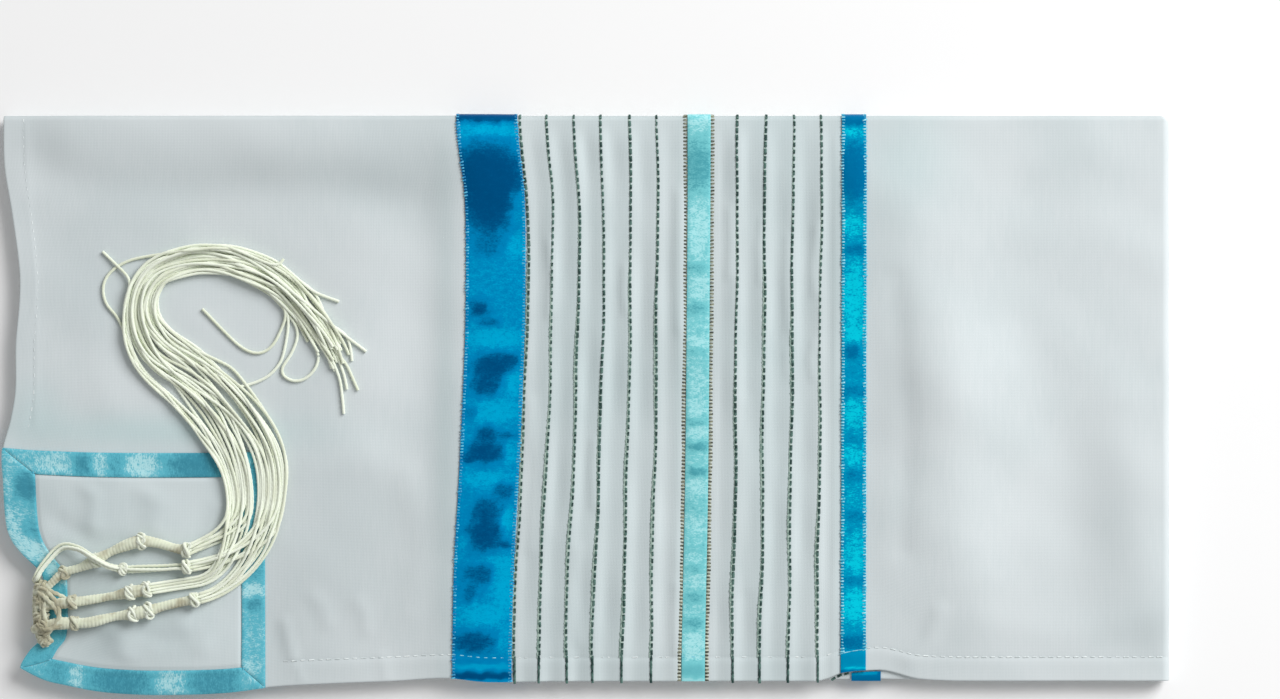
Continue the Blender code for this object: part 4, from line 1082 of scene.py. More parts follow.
def makeCornerRibbon(side, seed):
    horizontal = side in ("top", "bottom")
    length = patch["length"] if horizontal else patch["width"]
    far = (patch["width"] if horizontal else patch["length"]) if side in ("top", "right") else 0.0
    inwards = -1.0 if far else 1.0
    along, share = np.meshgrid(
        np.linspace(0.0, 1.0, cornerRibbon["along"]),
        np.concatenate([[0.0, 0.03], np.linspace(0.08, 0.92, cornerRibbon["across"]), [0.97, 1.0]]),
    )
    width = patch["leftRibbon"] if side == "left" else patch["ribbon"]
    depth = share * width
    firstCut = depth * (patch["leftRibbon"] / patch["ribbon"] if horizontal else patch["ribbon"] / width)
    lastCut = depth * (1.0 if horizontal else patch["ribbon"] / width)
    run = firstCut + patch["seam"] + (length - firstCut - lastCut - 2 * patch["seam"]) * along
    far = far + inwards * depth
    across, up = (run, far) if horizontal else (far, run)
    place = run / length
    tone = paintShines(place * 6.0, share * 10.0, 10.0, cornerRibbon["base"], (), seed)
    wrinkle = wovenNoise(seed, run, depth, (9.0, 5.0))
    # painted highlights and painted shade along the band
    for centre, middle, halfPlace, halfShare, value in cornerShines[side]:
        reach = np.hypot((place + 0.012 * wrinkle - centre) / halfPlace, (share - middle) / halfShare)
        weight = 1.0 / (1.0 + np.exp((np.minimum(reach, 9.0) - 0.9) * 6.0))
        tone = tone * (1.0 - weight) + value * weight
    lumps = (0.9 - tone) + 0.3 * wrinkle
    relief = cornerRibbon["puff"] * np.sin(math.pi * share) * lumps
    ends = np.minimum(along, 1.0 - along) * length
    rim = 0.25 * np.exp(-np.minimum(depth, width - depth) / 0.35) + 0.35 * np.exp(-ends / 0.4)
    top = cornerRibbon["lowest"] + cornerRibbon["thickness"]
    overPanel = 0.55 * ease((depth - width + panel["under"] + 1.4) / 1.2)
    outer = facePoints(across, up, top + 0.15, relief - rim + 0.6 * overPanel)
    inner = facePoints(across, up, cornerRibbon["lowest"], overPanel)
    name = "corner_band_" + side
    uv = np.stack([depth, run], -1) * mm
    mesh = shellMesh(name, outer, inner, uv, {"tone": tone, "plain": np.zeros(tone.shape)}, 50)
    return linkPiece(name, mesh, "patchSatin")


cornerPatch = makeCornerPanel()
cornerSides = ("top", "left", "right", "bottom")
cornerBands = [makeCornerRibbon(side, 20 + 3 * i) for i, side in enumerate(cornerSides)]
print("corner patch made:", 1 + len(cornerBands), "pieces")


# Sewn rows: short threads set along paths by Geometry Nodes

def makeSewnTree():
    tree = bpy.data.node_groups.new("sewnRow", "GeometryNodeTree")
    interface = tree.interface
    interface.new_socket("Geometry", in_out="INPUT", socket_type="NodeSocketGeometry")
    for name in ("Pitch", "Thread Length", "Thread Width", "Thread Height", "Unevenness", "Turn"):
        interface.new_socket(name, in_out="INPUT", socket_type="NodeSocketFloat")
    interface.new_socket("Seed", in_out="INPUT", socket_type="NodeSocketInt")
    interface.new_socket("Thread Material", in_out="INPUT", socket_type="NodeSocketMaterial")
    interface.new_socket("Geometry", in_out="OUTPUT", socket_type="NodeSocketGeometry")
    nodes, links = tree.nodes, tree.links
    given = nodes.new("NodeGroupInput").outputs
    result = nodes.new("NodeGroupOutput").inputs

    def add(kind, wires=None, **settings):
        node = addNode(nodes, kind, **settings)
        for key, source in (wires or {}).items():
            links.new(source, node.inputs[key])
        return node.outputs

    toCurve = add("GeometryNodeMeshToCurve", {"Mesh": given["Geometry"]})
    wires = {"Curve": toCurve["Curve"], "Length": given["Pitch"]}
    resample = add("GeometryNodeResampleCurve", wires, mode="LENGTH")
    bar = add("GeometryNodeMeshCylinder", Vertices=8, Radius=0.5, Depth=1.0)
    thread = add("GeometryNodeTransform", {"Geometry": bar["Mesh"]}, Rotation=(0.0, math.pi / 2, 0.0))
    # each thread lies along its path, stands outwards and is turned a little
    tangent = add("GeometryNodeInputTangent")["Tangent"]
    alongPath = add("FunctionNodeAlignRotationToVector", {"Vector": tangent}, axis="X")
    outwards = add("GeometryNodeInputNamedAttribute", data_type="FLOAT_VECTOR", Name="outwards")
    wires = {"Rotation": alongPath["Rotation"], "Vector": outwards["Attribute"]}
    upright = add("FunctionNodeAlignRotationToVector", wires, axis="Z", pivot_axis="X")
    below = mathNode(nodes, links, "MULTIPLY", given["Turn"], -1.0)
    wires = {2: below, 3: given["Turn"], "Seed": given["Seed"]}
    turn = add("FunctionNodeRandomValue", wires, data_type="FLOAT")
    aroundUp = add("FunctionNodeAxisAngleToRotation", {"Angle": turn[1]}, Axis=(0.0, 0.0, 1.0))
    wires = {"Rotation": upright["Rotation"], "Rotate By": aroundUp["Rotation"]}
    turned = add("FunctionNodeRotateRotation", wires, rotation_space="LOCAL")
    # its size varies a little, and with how heavy the row is there
    lengths = {"X": given["Thread Length"], "Y": given["Thread Width"], "Z": given["Thread Height"]}
    size = add("ShaderNodeCombineXYZ", lengths)
    least = mathNode(nodes, links, "SUBTRACT", 1.0, given["Unevenness"])
    most = mathNode(nodes, links, "ADD", 1.0, given["Unevenness"])
    uneven = add("FunctionNodeRandomValue", {2: least, 3: most, "Seed": given["Seed"]}, data_type="FLOAT")
    heavy = add("GeometryNodeInputNamedAttribute", data_type="FLOAT", Name="heavy")
    weight = mathNode(nodes, links, "MULTIPLY", uneven[1], heavy["Attribute"])
    scaled = add("ShaderNodeVectorMath", {0: size["Vector"], "Scale": weight}, operation="SCALE")
    place = add("GeometryNodeInstanceOnPoints", {
        "Points": resample["Curve"], "Instance": thread["Geometry"],
        "Rotation": turned["Rotation"], "Scale": scaled["Vector"],
    })
    real = add("GeometryNodeRealizeInstances", {"Geometry": place["Instances"]})
    wires = {"Geometry": real["Geometry"], "Material": given["Thread Material"]}
    finish = add("GeometryNodeSetMaterial", wires)
    links.new(finish["Geometry"], result["Geometry"])
    return tree


sewnTree = makeSewnTree()


def pathOnFace(across, up, lift, relief=0.0, heavy=1.0):
    # one row's places and the direction that is outwards there
    across, up = np.broadcast_arrays(np.asarray(across, float), np.asarray(up, float))
    low = facePoints(across, up, lift, relief)
    high = facePoints(across, up, lift + 0.5, relief)
    outwards = (high - low) / np.linalg.norm(high - low, axis=1, keepdims=True)
    return low, outwards, np.broadcast_to(np.asarray(heavy, float), across.shape)


def sewRow(name, paths, settings):
    points = np.concatenate([p[0] for p in paths])
    mesh = bpy.data.meshes.new(name + "_path")
    edges = []
    start = 0
    for p in paths:
        edges += [(start + i, start + i + 1) for i in range(len(p[0]) - 1)]
        start += len(p[0])
    mesh.from_pydata(toWorld(points).tolist(), edges, [])
    outwards = mesh.attributes.new("outwards", "FLOAT_VECTOR", "POINT")
    outwards.data.foreach_set("vector", np.concatenate([p[1] for p in paths]).astype(np.float32).ravel())
    heavy = mesh.attributes.new("heavy", "FLOAT", "POINT")
    heavy.data.foreach_set("value", np.concatenate([p[2] for p in paths]).astype(np.float32))
    holder = bpy.data.objects.new(name + "_path", mesh)
    bpy.context.scene.collection.objects.link(holder)
    modifier = holder.modifiers.new("sewnRow", "NODES")
    modifier.node_group = sewnTree
    given = {
        "Pitch": settings["pitch"] * mm,
        "Thread Length": settings["size"][0] * mm,
        "Thread Width": settings["size"][1] * mm,
        "Thread Height": settings["size"][2] * mm,
        "Unevenness": settings.get("uneven", 0.1),
        "Turn": settings.get("turn", 0.05),
        "Seed": settings.get("seed", 1),
        "Thread Material": materials[settings["finish"]],
    }
    for item in sewnTree.interface.items_tree:
        if item.item_type == "SOCKET" and item.in_out == "INPUT" and item.name in given:
            modifier[item.identifier] = given[item.name]
    graph = bpy.context.evaluated_depsgraph_get()
    made = bpy.data.meshes.new_from_object(holder.evaluated_get(graph))
    made.name = name
    bpy.data.objects.remove(holder, do_unlink=True)
    for spare in ("outwards", "heavy"):
        if spare in made.attributes:
            made.attributes.remove(made.attributes[spare])
    made.shade_smooth()
    made.set_sharp_from_angle(angle=math.radians(60))
    piece = bpy.data.objects.new(name, made)
    bpy.context.scene.collection.objects.link(piece)
    if not made.materials:
        made.materials.append(materials[settings["finish"]])
    return piece


wovenLines = {
    "pitch": 2.87,
    "dash": (1.85, 0.95, 0.5),
    "ply": (1.7, 1.15, 0.28),
    "hemPart": (1.5, 0.9, 0.5),
    "wander": 0.3,
    "lift": 0.1,
    "firm": (0.92, 1.0, 1.1, 1.02, 1.0, 1.1, 1.05, 1.06, 0.98, 1.0),
}
bandEdgeLine = 212.3  # one more runs close along the wide ribbon


def rowUps(low=0.4, high=None, step=1.0):
    return steps(low, step, high if high else flatTop + packet["topRoll"] * math.pi / 2 + 0.9)


def makeWovenLines():
    ups = rowUps()
    inHem = rowUps(0.3, cloth["hemLower"], 0.8)
    dashes, plies, hemmed = [], [], []
    for number, centre in enumerate(stripes[1:] + stripesRight + (bandEdgeLine,)):
        wander = wovenLines["wander"] * (np.sin(ups / 15.0 + 1.7 * number) + 0.3 * np.sin(ups / 6.1 + number))
        strength = wovenLines["firm"][number] * (1.0 + 0.12 * np.sin(ups / 31.0 + 2.3 * number))
        relief = hemRelief(np.full(len(ups), centre), ups) + stripeRelief(np.full(len(ups), centre), ups)
        dashes.append(pathOnFace(centre + wander, ups, wovenLines["lift"] + 0.12, relief, strength))
        bared = 0.62 + 0.38 * ease((190.0 - ups + 40.0 * math.sin(number * 2.2)) / 80.0)
        bared = bared * (1.0 + 0.16 * np.sin(ups / 11.0 + 2.0 * number))
        free = ups > cloth["hemLower"]
        besideLine = (centre + wander - 0.45 * bared)[free]
        plies.append(pathOnFace(besideLine, ups[free], wovenLines["lift"], relief[free], bared[free]))
        onHem = np.full(len(inHem), centre + wander[0])
        relief = hemRelief(onHem, inHem) + stripeRelief(onHem, inHem)
        hemmed.append(pathOnFace(onHem, inHem, wovenLines["lift"] + 0.1, relief))
    pitch = wovenLines["pitch"]
    dark = sewRow("line_dashes", dashes, {
        "pitch": pitch, "size": wovenLines["dash"], "uneven": 0.1, "turn": 0.07, "seed": 4,
        "finish": "dashThread"})
    sage = sewRow("line_plies", plies, {
        "pitch": pitch / 2, "size": wovenLines["ply"], "uneven": 0.12, "turn": 0.3, "seed": 9,
        "finish": "plyThread"})
    solid = sewRow("line_hem_ends", hemmed, {
        "pitch": 1.1, "size": wovenLines["hemPart"], "uneven": 0.12, "turn": 0.12, "seed": 6,
        "finish": "dashThread"})
    x = steps(341.0, 0.8, 346.4)
    y = readTable(lowerEdge, x) + readTable(liftedHem, x) - 0.75
    onLayer = np.stack([x, y, np.full(len(x), layers["count"] * layers["thickness"] + 0.15)], -1)
    below = sewRow("layer_dashes", [(onLayer, np.tile([0.0, 0.0, 1.0], (len(x), 1)), np.ones(len(x)))], {
        "pitch": 2.4, "size": (1.9, 0.9, 0.4), "uneven": 0.1, "turn": 0.1, "seed": 14,
        "finish": "dashThread"})
    return [dark, sage, solid, below]


sewnPieces = makeWovenLines()

lightTicks = {"pitch": 1.45, "size": (0.56, 1.8, 0.5), "uneven": 0.16, "turn": 0.14, "seed": 17,
              "finish": "darkTick"}
lightGaps = {"pitch": 1.45, "size": (0.6, 1.4, 0.4), "uneven": 0.14, "turn": 0.12, "seed": 18,
             "finish": "paleTick"}
satinTicks = {"pitch": 1.25, "size": (0.5, 1.5, 0.3), "uneven": 0.35, "turn": 0.25, "seed": 21}
hemStitches = {"pitch": 3.4, "size": (1.9, 0.45, 0.3), "uneven": 0.2, "turn": 0.1, "seed": 23,
               "finish": "hemThread"}
ribbonStitches = {"pitch": 3.0, "size": (1.5, 0.35, 0.25), "uneven": 0.3, "turn": 0.15, "seed": 29,
                  "finish": "iceTick"}
narrowStitches = {"pitch": 0.95, "size": (1.15, 0.34, 0.28), "uneven": 0.12, "turn": 0.05, "seed": 37,
                  "finish": "iceTick"}


def edgePath(across, lift, offset=0.0, heavy=1.0):
    ups = rowUps(0.5 + offset)
    sway = 0.12 * np.sin(ups / 9.0 + across)
    return pathOnFace(across + sway, ups, lift, hemRelief(np.full(len(ups), across), ups), heavy)


tickSides = (lightRibbonEdges[0] - 0.75, lightRibbonEdges[1] + 0.7)
sewnPieces.append(sewRow("light_edge_ticks", [edgePath(side, 0.32) for side in tickSides], lightTicks))
sewnPieces.append(sewRow("light_edge_gaps", [edgePath(side, 0.22, 0.72) for side in tickSides], lightGaps))
for name, (start, end), lowest, finish in (
    ("wide_edge_ticks", wideRibbonEdges, 0.0, "ribbonThread"),
    ("narrow_edge_ticks", narrowRibbonEdges, 9.4, "iceTick"),
):
    rowsHere = [edgePath(start + 0.6, 0.7, lowest), edgePath(end - 0.6, 0.7, lowest)]
    sewnPieces.append(sewRow(name, rowsHere, {**satinTicks, "finish": finish}))


def makeHemRows():
    onCloth = []
    for start, end in ((116.0, wideRibbonEdges[0] - 1.0), (214.0, lightRibbonEdges[0] - 2.0),
                       (lightRibbonEdges[1] + 2.0, narrowRibbonEdges[0] - 1.0),
                       (narrowRibbonEdges[1] + 1.0, flatEnd - 1.0)):
        across = steps(start, 1.5, end)
        ups = np.full(len(across), cloth["hemLower"])
        onCloth.append(pathOnFace(across, ups, 0.08, hemRelief(across, ups)))
    ups = steps(patch["width"] + patch["clear"] + 4.0, 1.5, flatTop)
    relief = hemRelief(np.full(len(ups), cloth["hemLeft"]), ups)
    onCloth.append(pathOnFace(np.full(len(ups), cloth["hemLeft"]), ups, 0.0, relief, 0.7))
    onRibbons = []
    for start, end in (wideRibbonEdges, lightRibbonEdges):
        across = steps(start + 0.6, 0.8, end - 0.6)
        ups = np.full(len(across), cloth["hemLower"] + 0.2)
        onRibbons.append(pathOnFace(across, ups, 0.72, hemRelief(across, ups)))
    across = steps(narrowRibbonEdges[0] + 0.2, 0.5, narrowRibbonEdges[1] - 0.2)
    ups = 9.0 + 0.11 * (across - narrowRibbonEdges[0])
    return onCloth, onRibbons, [pathOnFace(across, ups, 0.74, hemRelief(across, ups))]


cornerStitches = {"pitch": 1.7, "size": (0.9, 0.34, 0.25), "uneven": 0.3, "turn": 0.2, "seed": 31,
                  "finish": "iceTick"}


def makeCornerRows():
    # the frame is sewn on along its outer and inner edges
    rows = []
    for inset, lift in ((0.7, 0.78), (patch["ribbon"] - 0.7, 1.2)):
        far = (patch["length"] - inset, patch["width"] - inset)
        left = inset if inset < 1.0 else patch["leftRibbon"] - 0.7
        across = steps(left, 1.5, far[0])
        for up in (inset, far[1]):
            rows.append(pathOnFace(across, np.full(len(across), up), lift))
        ups = steps(inset, 1.5, far[1])
        for side in (left, far[0]):
            rows.append(pathOnFace(np.full(len(ups), side), ups, lift))
    return rows


sewnPieces.append(sewRow("corner_stitches", makeCornerRows(), cornerStitches))
hemRows = makeHemRows()
sewnPieces.append(sewRow("hem_stitches", hemRows[0], hemStitches))
sewnPieces.append(sewRow("ribbon_hem_stitches", hemRows[1], ribbonStitches))
sewnPieces.append(sewRow("narrow_hem_stitches", hemRows[2], narrowStitches))
print("sewn rows made:", len(sewnPieces), "with", sum(len(p.data.polygons) for p in sewnPieces), "faces")


# Tassels

tassels = {
    "strands": 8,
    "radius": 0.6,
    "pressed": 0.62,
    "sides": 8,
    "ringStep": 0.85,
    "plyDepth": 0.09,
    "plyTurn": 4.4,
    "joinShare": 0.09,
    "cordStep": 0.3,
    "cordSides": 20,
    "cordRibs": (1.45, 0.3),  # pitch and height of the yarn wound round it
    "looseRadius": 0.62,
    "looseDepth": 0.17,
    "knotSides": 7,
    "slotWidth": 1.2,  # strands leave a knot four abreast, in two rows
    "headRun": 9.0,  # how far a strand takes to come down from its knot
    "softenings": 14,
    "seed": 41,
}
bundle = (  # x, y, half width
    (95.5, 51.2, 8.0), (102.5, 67.6, 10.5), (104.5, 84.0, 12.5), (101.7, 100.4, 14.5), (91.4, 116.8, 15.0),
    (77.4, 130.2, 13.6), (63.4, 141.6, 11.6), (57.0, 157.4, 7.6), (61.7, 171.8, 6.7), (76.7, 178.3, 6.5),
    (90.6, 178.7, 6.6), (102.9, 175.4, 6.8), (113.4, 169.8, 7.0), (122.4, 161.4, 7.3), (131.6, 148.4, 7.6),
    (138.0, 134.4, 6.4), (140.6, 118.6, 3.2),
)
cords = {
    "tassel_1": (
        (14.2, 42.4, -3.6, 1.6), (14.2, 42.4, -0.8, 1.7), (15.3, 42.6, 1.6, 1.8), (18.0, 43.2, 2.5, 1.9),
        (21.4, 46.6, 2.3, 1.9), (26.0, 50.4, 2.4, 2.0), (33.0, 52.6, 2.5, 2.1), (38.9, 55.4, 3.2, 2.8),
        (45.0, 58.8, 2.5, 2.1), (51.5, 61.6, 2.9, 2.5), (57.8, 63.3, 3.2, 2.9), (64.0, 62.6, 2.6, 2.2),
        (71.0, 60.6, 2.8, 2.2), (76.5, 59.6, 3.5, 2.8),
    ),
    "tassel_2": (
        (14.0, 46.8, -4.6, 0.9), (13.8, 47.0, -0.6, 0.9), (14.9, 48.6, 2.0, 1.0), (17.6, 53.2, 1.9, 1.0),
        (24.5, 60.6, 1.7, 1.0), (32.0, 60.6, 4.4, 1.0), (38.9, 57.0, 7.5, 1.0), (44.4, 53.4, 4.6, 1.0),
        (50.0, 51.8, 1.8, 1.2), (56.0, 51.6, 1.8, 1.5), (66.0, 52.0, 1.9, 1.5), (71.5, 52.6, 2.6, 2.0),
        (76.5, 52.8, 3.5, 2.6),
    ),
    "tassel_3": (
        (14.2, 36.4, -5.4, 1.6), (14.2, 36.4, -0.8, 1.7), (15.3, 36.5, 1.6, 1.8), (18.0, 36.8, 2.5, 2.0),
        (23.8, 37.7, 2.8, 2.4), (29.5, 38.4, 3.0, 2.6), (36.1, 39.2, 2.5, 2.1), (46.6, 41.0, 2.5, 2.1),
        (53.2, 42.4, 3.2, 2.8), (60.0, 43.6, 3.2, 2.8),
    ),
    "tassel_4": (
        (13.6, 27.0, -6.2, 1.8), (13.6, 27.0, -0.8, 2.0), (14.9, 27.4, 1.8, 2.2), (18.0, 28.4, 2.9, 2.4),
        (23.8, 29.6, 3.2, 2.8), (30.5, 29.8, 2.9, 2.5), (37.0, 30.2, 2.9, 2.5), (46.5, 32.4, 2.5, 2.1),
        (54.5, 33.6, 3.1, 2.7), (61.0, 35.0, 3.2, 2.8), (67.0, 36.8, 2.5, 2.1), (74.0, 38.4, 2.6, 2.2),
        (79.5, 39.4, 3.0, 2.6),
    ),
}
knots = {  # row of the cord that each knot is tied at
    "tassel_1": (3, 5, 7, 10, 13), "tassel_2": (8, 12),
    "tassel_3": (3, 5, 8, 9), "tassel_4": (3, 5, 8, 9, 12),
}
joins = {  # direction in degrees, straight run, side (0 right, 1 left)
    "tassel_1": (24.0, 2.0, 1), "tassel_2": (10.0, 3.0, 0),
    "tassel_3": (8.5, 21.0, 1), "tassel_4": (12.0, 2.0, 0),
}
strays = {  # tassel and strand: share of the bundle where it leaves, then its places
    ("tassel_4", 0): (0.7, ((115.6, 159.6), (113.6, 147.9), (109.8, 142.0), (104.8, 139.9), (98.9, 142.0),
                            (92.3, 147.9), (82.2, 158.3))),
    ("tassel_2", 1): (0.72, ((116.4, 158.8), (115.6, 140.3), (112.3, 133.7), (107.3, 129.5), (98.9, 126.6),
                             (93.9, 126.0))),
    ("tassel_4", 2): (0.76, ((120.7, 151.3), (118.9, 140.3), (114.4, 133.7), (115.6, 130.4), (120.7, 128.4),
                             (125.7, 130.4), (129.5, 135.3), (129.9, 138.7))),
    ("tassel_1", 6): (0.5, ((52.1, 171.2), (46.5, 176.8), (41.3, 181.8))),
    ("tassel_3", 7): (0.78, ((126.5, 166.3), (132.0, 163.6), (138.3, 161.3))),
    ("tassel_1", 7): (0.68, ((112.0, 176.0), (115.7, 178.8))),
    ("tassel_1", 2): (0.88, ((137.4, 133.0), (139.4, 124.0), (140.3, 115.3))),
    ("tassel_2", 4): (0.86, ((139.6, 149.0), (142.8, 143.0), (143.7, 137.0))),
    ("tassel_3", 2): (0.84, ((138.4, 149.4), (144.0, 145.0), (149.5, 140.8))),
    ("tassel_4", 5): (0.88, ((140.6, 136.6), (143.6, 130.4), (146.2, 124.9))),
    ("tassel_1", 5): (0.88, ((138.0, 138.0), (140.4, 131.4), (141.6, 125.3))),
    ("tassel_3", 5): (0.85, ((130.8, 146.0), (133.6, 139.4), (135.3, 133.7))),
    ("tassel_2", 3): (0.83, ((125.2, 152.6), (127.6, 145.2), (129.9, 139.1))),
}
leftLoop = ((48.0, 153.8), (43.0, 159.6), (41.3, 167.2), (44.0, 173.0), (50.0, 177.2), (58.8, 179.7))
strandEnds = (0.9, 0.925, 0.885, 0.915, 0.895, 0.94, 0.905, 0.875)


def smoothPath(points, shares):
    # places on a smooth curve through the points, by share of their number
    points = np.array(points, float)
    last = len(points) - 1
    position = np.clip(shares, 0.0, 1.0) * last
    row = np.minimum(position.astype(int), last - 1)
    t = (position - row)[:, None]
    p0, p1, p2, p3 = (points[np.clip(row + i, 0, last)] for i in (-1, 0, 1, 2))
    straight = 2 * p1 + (p2 - p0) * t
    bend = (2 * p0 - 5 * p1 + 4 * p2 - p3) * t * t + (3 * p1 - p0 - 3 * p2 + p3) * t**3
    return 0.5 * (straight + bend)


def evenly(points, step):
    # the same line with its places evenly spaced
    lengths = np.concatenate([[0.0], np.cumsum(np.linalg.norm(np.diff(points, axis=0), axis=1))])
    wanted = np.linspace(0.0, lengths[-1], max(2, int(lengths[-1] / step) + 1))
    return np.stack([np.interp(wanted, lengths, points[:, k]) for k in range(points.shape[1])], -1)


def layHeight(x, y):
    # what the tassels lie on: the cloth, and the corner patch where there is one
    beside = ease((x - patch["length"] - patch["lean"] / 2) / patch["ribbon"])
    above = ease((y - patch["width"] - 1.5 * patch["lean"]) / patch["ribbon"])
    over = (1.0 - beside) * (1.0 - above)
    raised = panelRelief(x, y - patch["lean"]) * over
    return packet["face"] + foldHeight(x, y) + 1.3 * over + np.maximum(raised, 0.0)


def bundlePlaces(shares, lanes):
    here = smoothPath(bundle, shares)
    run = smoothPath(bundle, shares + 0.01)[:, :2] - smoothPath(bundle, shares - 0.01)[:, :2]
    run /= np.linalg.norm(run, axis=1, keepdims=True)
    left = np.stack([-run[:, 1], run[:, 0]], -1)
    return here[:, :2] + left * (lanes * (here[:, 2] - tassels["radius"]))[:, None], run


def laneOf(tassel, strand, shares, wander):
    # where in the bundle a strand lies, -1 at its right edge to 1 at its left
    side = joins[tassel][2]
    place = (strand * 2 + (tassel in ("tassel_3", "tassel_4"))) / 15.0
    lane = (place - 1.0) if side == 0 else place
    lane = lane * 0.95 + 0.025
    split = 0.11 * np.exp(-(((shares - 0.13) / 0.1) ** 2)) * (1.0 if side else -1.0)
    slow = wander[0] * np.sin(2 * math.pi * shares * wander[1] + wander[2])
    quick = wander[3] * np.sin(2 * math.pi * shares * wander[4] + wander[5])
    mixing = ease((shares - 0.1) / 0.25)
    free = lane + split + (slow + quick) * mixing
    return np.arcsin(np.sin(free * math.pi / 2)) * 2 / math.pi * 1.03  # it turns back at the bundle's edge


def strandRoute(tassel, strand, random):
    direction, lead, _ = joins[tassel]
    head = np.array(cords[tassel][-1])
    angle = math.radians(direction)
    forward = np.array([math.cos(angle), math.sin(angle)])
    sideways = np.array([-forward[1], forward[0]])
    slotAcross = (strand % 4 - 1.5) * tassels["slotWidth"]
    start = head[:2] - forward * 1.2 + sideways * slotAcross
    led = start + forward * (1.2 + lead)
    wander = (
        random.uniform(0.08, 0.3), random.uniform(0.9, 2.0), random.uniform(0, 6.3),
        random.uniform(0.04, 0.13), random.uniform(3.0, 6.0), random.uniform(0, 6.3),
    )
    join = tassels["joinShare"] + random.uniform(-0.03, 0.03)
    lane = laneOf(tassel, strand, np.array([join]), wander)
    (end,), (endRun,) = bundlePlaces(np.array([join]), lane)
    reach = np.linalg.norm(end - led)
    t = np.linspace(0.0, 1.0, 14)[:-1, None]
    leadIn = (
        (2 * t**3 - 3 * t**2 + 1) * led + (t**3 - 2 * t**2 + t) * reach * forward
        + (3 * t**2 - 2 * t**3) * end + (t**3 - t**2) * reach * endRun
    )
    stray = strays.get((tassel, strand))
    if stray:
        finish = stray[0]
    else:
        finish = strandEnds[(3 * strand + 5 * int(tassel[-1])) % 8] + random.uniform(-0.012, 0.012)
    shares = np.linspace(join, finish, 120)
    inBundle = bundlePlaces(shares, laneOf(tassel, strand, shares, wander))[0]
    pieces = [start[None], leadIn, inBundle]
    if (tassel, strand) == ("tassel_3", 6):
        away = (shares > 0.4) & (shares < 0.56)
        first, last = np.argmax(away), len(away) - np.argmax(away[::-1])
        places = np.array([inBundle[first - 6], *leftLoop, inBundle[last + 6]])
        loop = smoothPath(places, np.linspace(0, 1, 40))
        pieces = [start[None], leadIn, inBundle[:first - 6], loop, inBundle[last + 6:]]
    if stray:
        # it leaves the bundle softly towards its first place of its own
        cut = inBundle[:-8]
        away = np.array([cut[-8], cut[-1], *stray[1]])
        pieces = [start[None], leadIn, cut[:-8], smoothPath(away, np.linspace(0.0, 1.0, 60))]
    route = evenly(np.concatenate(pieces), 1.0)
    kernel = np.array([1, 3, 5, 3, 1]) / 13.0
    for _ in range(4):
        padded = np.concatenate([route[:1]] * 2 + [route] + [route[-1:]] * 2)
        smoothed = sum(w * padded[k:k + len(route)] for k, w in enumerate(kernel))
        smoothed[0], smoothed[-1] = route[0], route[-1]
        route = smoothed
    return evenly(route, tassels["ringStep"])


def drape(routes, headHeights):
    # each strand in turn is laid over what lies there already
    thick = 2 * tassels["radius"] * tassels["pressed"]
    laid = []
    for route, headHeight in zip(routes, headHeights):
        floorHeight = layHeight(route[:, 0], route[:, 1]) + tassels["radius"] + 0.15
        lowest = floorHeight.copy()
        if laid:
            others = np.concatenate(laid)
            distance = ((route[:, None] - others[None, :, :2]) ** 2).sum(-1)
            rise = np.sqrt(np.maximum(thick**2 - distance, 0.0)) + others[None, :, 2]
            lowest = np.maximum(lowest, np.where(distance < thick**2, rise, -1e3).max(1))
        height = lowest.copy()
        kernel = np.array([1, 2, 3, 4, 3, 2, 1]) / 16.0
        for _ in range(tassels["softenings"]):
            padded = np.concatenate([height[:1]] * 3 + [height] + [height[-1:]] * 3)
            blurred = sum(w * padded[k:k + len(height)] for k, w in enumerate(kernel))
            height = np.maximum(lowest, blurred)
        travelled = np.arange(len(route)) * tassels["ringStep"]
        atHead = 1.0 - ease(travelled / tassels["headRun"])
        height = height * (1.0 - atHead) + headHeight * atHead
        laid.append(np.concatenate([route, height[:, None]], 1))
    return laid


def tubeAround(path, radii, sides, twist=None, depth=0.0, ribs=None):
    # a closed tube along a path. twist turns a two-ply section, ribs winds a yarn round it.
    run = np.gradient(path, axis=0)
    run /= np.linalg.norm(run, axis=1, keepdims=True)
    upright = np.array([0.0, 0.0, 1.0])
    across = np.cross(np.broadcast_to(upright, run.shape), run)
    weak = np.linalg.norm(across, axis=1) < 0.2
    across[weak] = np.cross(np.broadcast_to([0.0, 1.0, 0.0], run.shape), run)[weak]
    across /= np.linalg.norm(across, axis=1, keepdims=True)
    above = np.cross(run, across)
    travelled = np.concatenate([[0.0], np.cumsum(np.linalg.norm(np.diff(path, axis=0), axis=1))])
    angles = 2 * math.pi * np.arange(sides) / sides
    size = np.repeat(np.asarray(radii, float)[:, None], sides, 1) * np.ones((len(path), sides))
    if twist:
        size = size * (1.0 + depth * np.cos(2 * (angles[None] - 2 * math.pi * travelled[:, None] / twist)))
    if ribs:
        share = (travelled[:, None] / ribs[0] + angles[None] / (2 * math.pi)) % 1.0
        size = size + ribs[1] * (np.sqrt(np.maximum(0.0, 1.0 - (2 * share - 1.0) ** 2)) - 0.75)
    ring = np.cos(angles)[None, :, None] * across[:, None] + np.sin(angles)[None, :, None] * above[:, None]
    points = path[:, None] + ring * size[:, :, None]
    count = len(path)
    number = np.arange(count * sides).reshape(count, sides)
    following = np.roll(number, -1, axis=1)
    faces = np.stack([number[:-1], following[:-1], following[1:], number[1:]], -1).reshape(-1, 4)
    uv = np.stack(np.broadcast_arrays(angles[None] / (2 * math.pi) * 4.0, travelled[:, None]), -1)
    caps = [number[0, ::-1].tolist(), number[-1].tolist()]
    return points.reshape(-1, 3), faces.tolist() + caps, uv.reshape(-1, 2) * mm


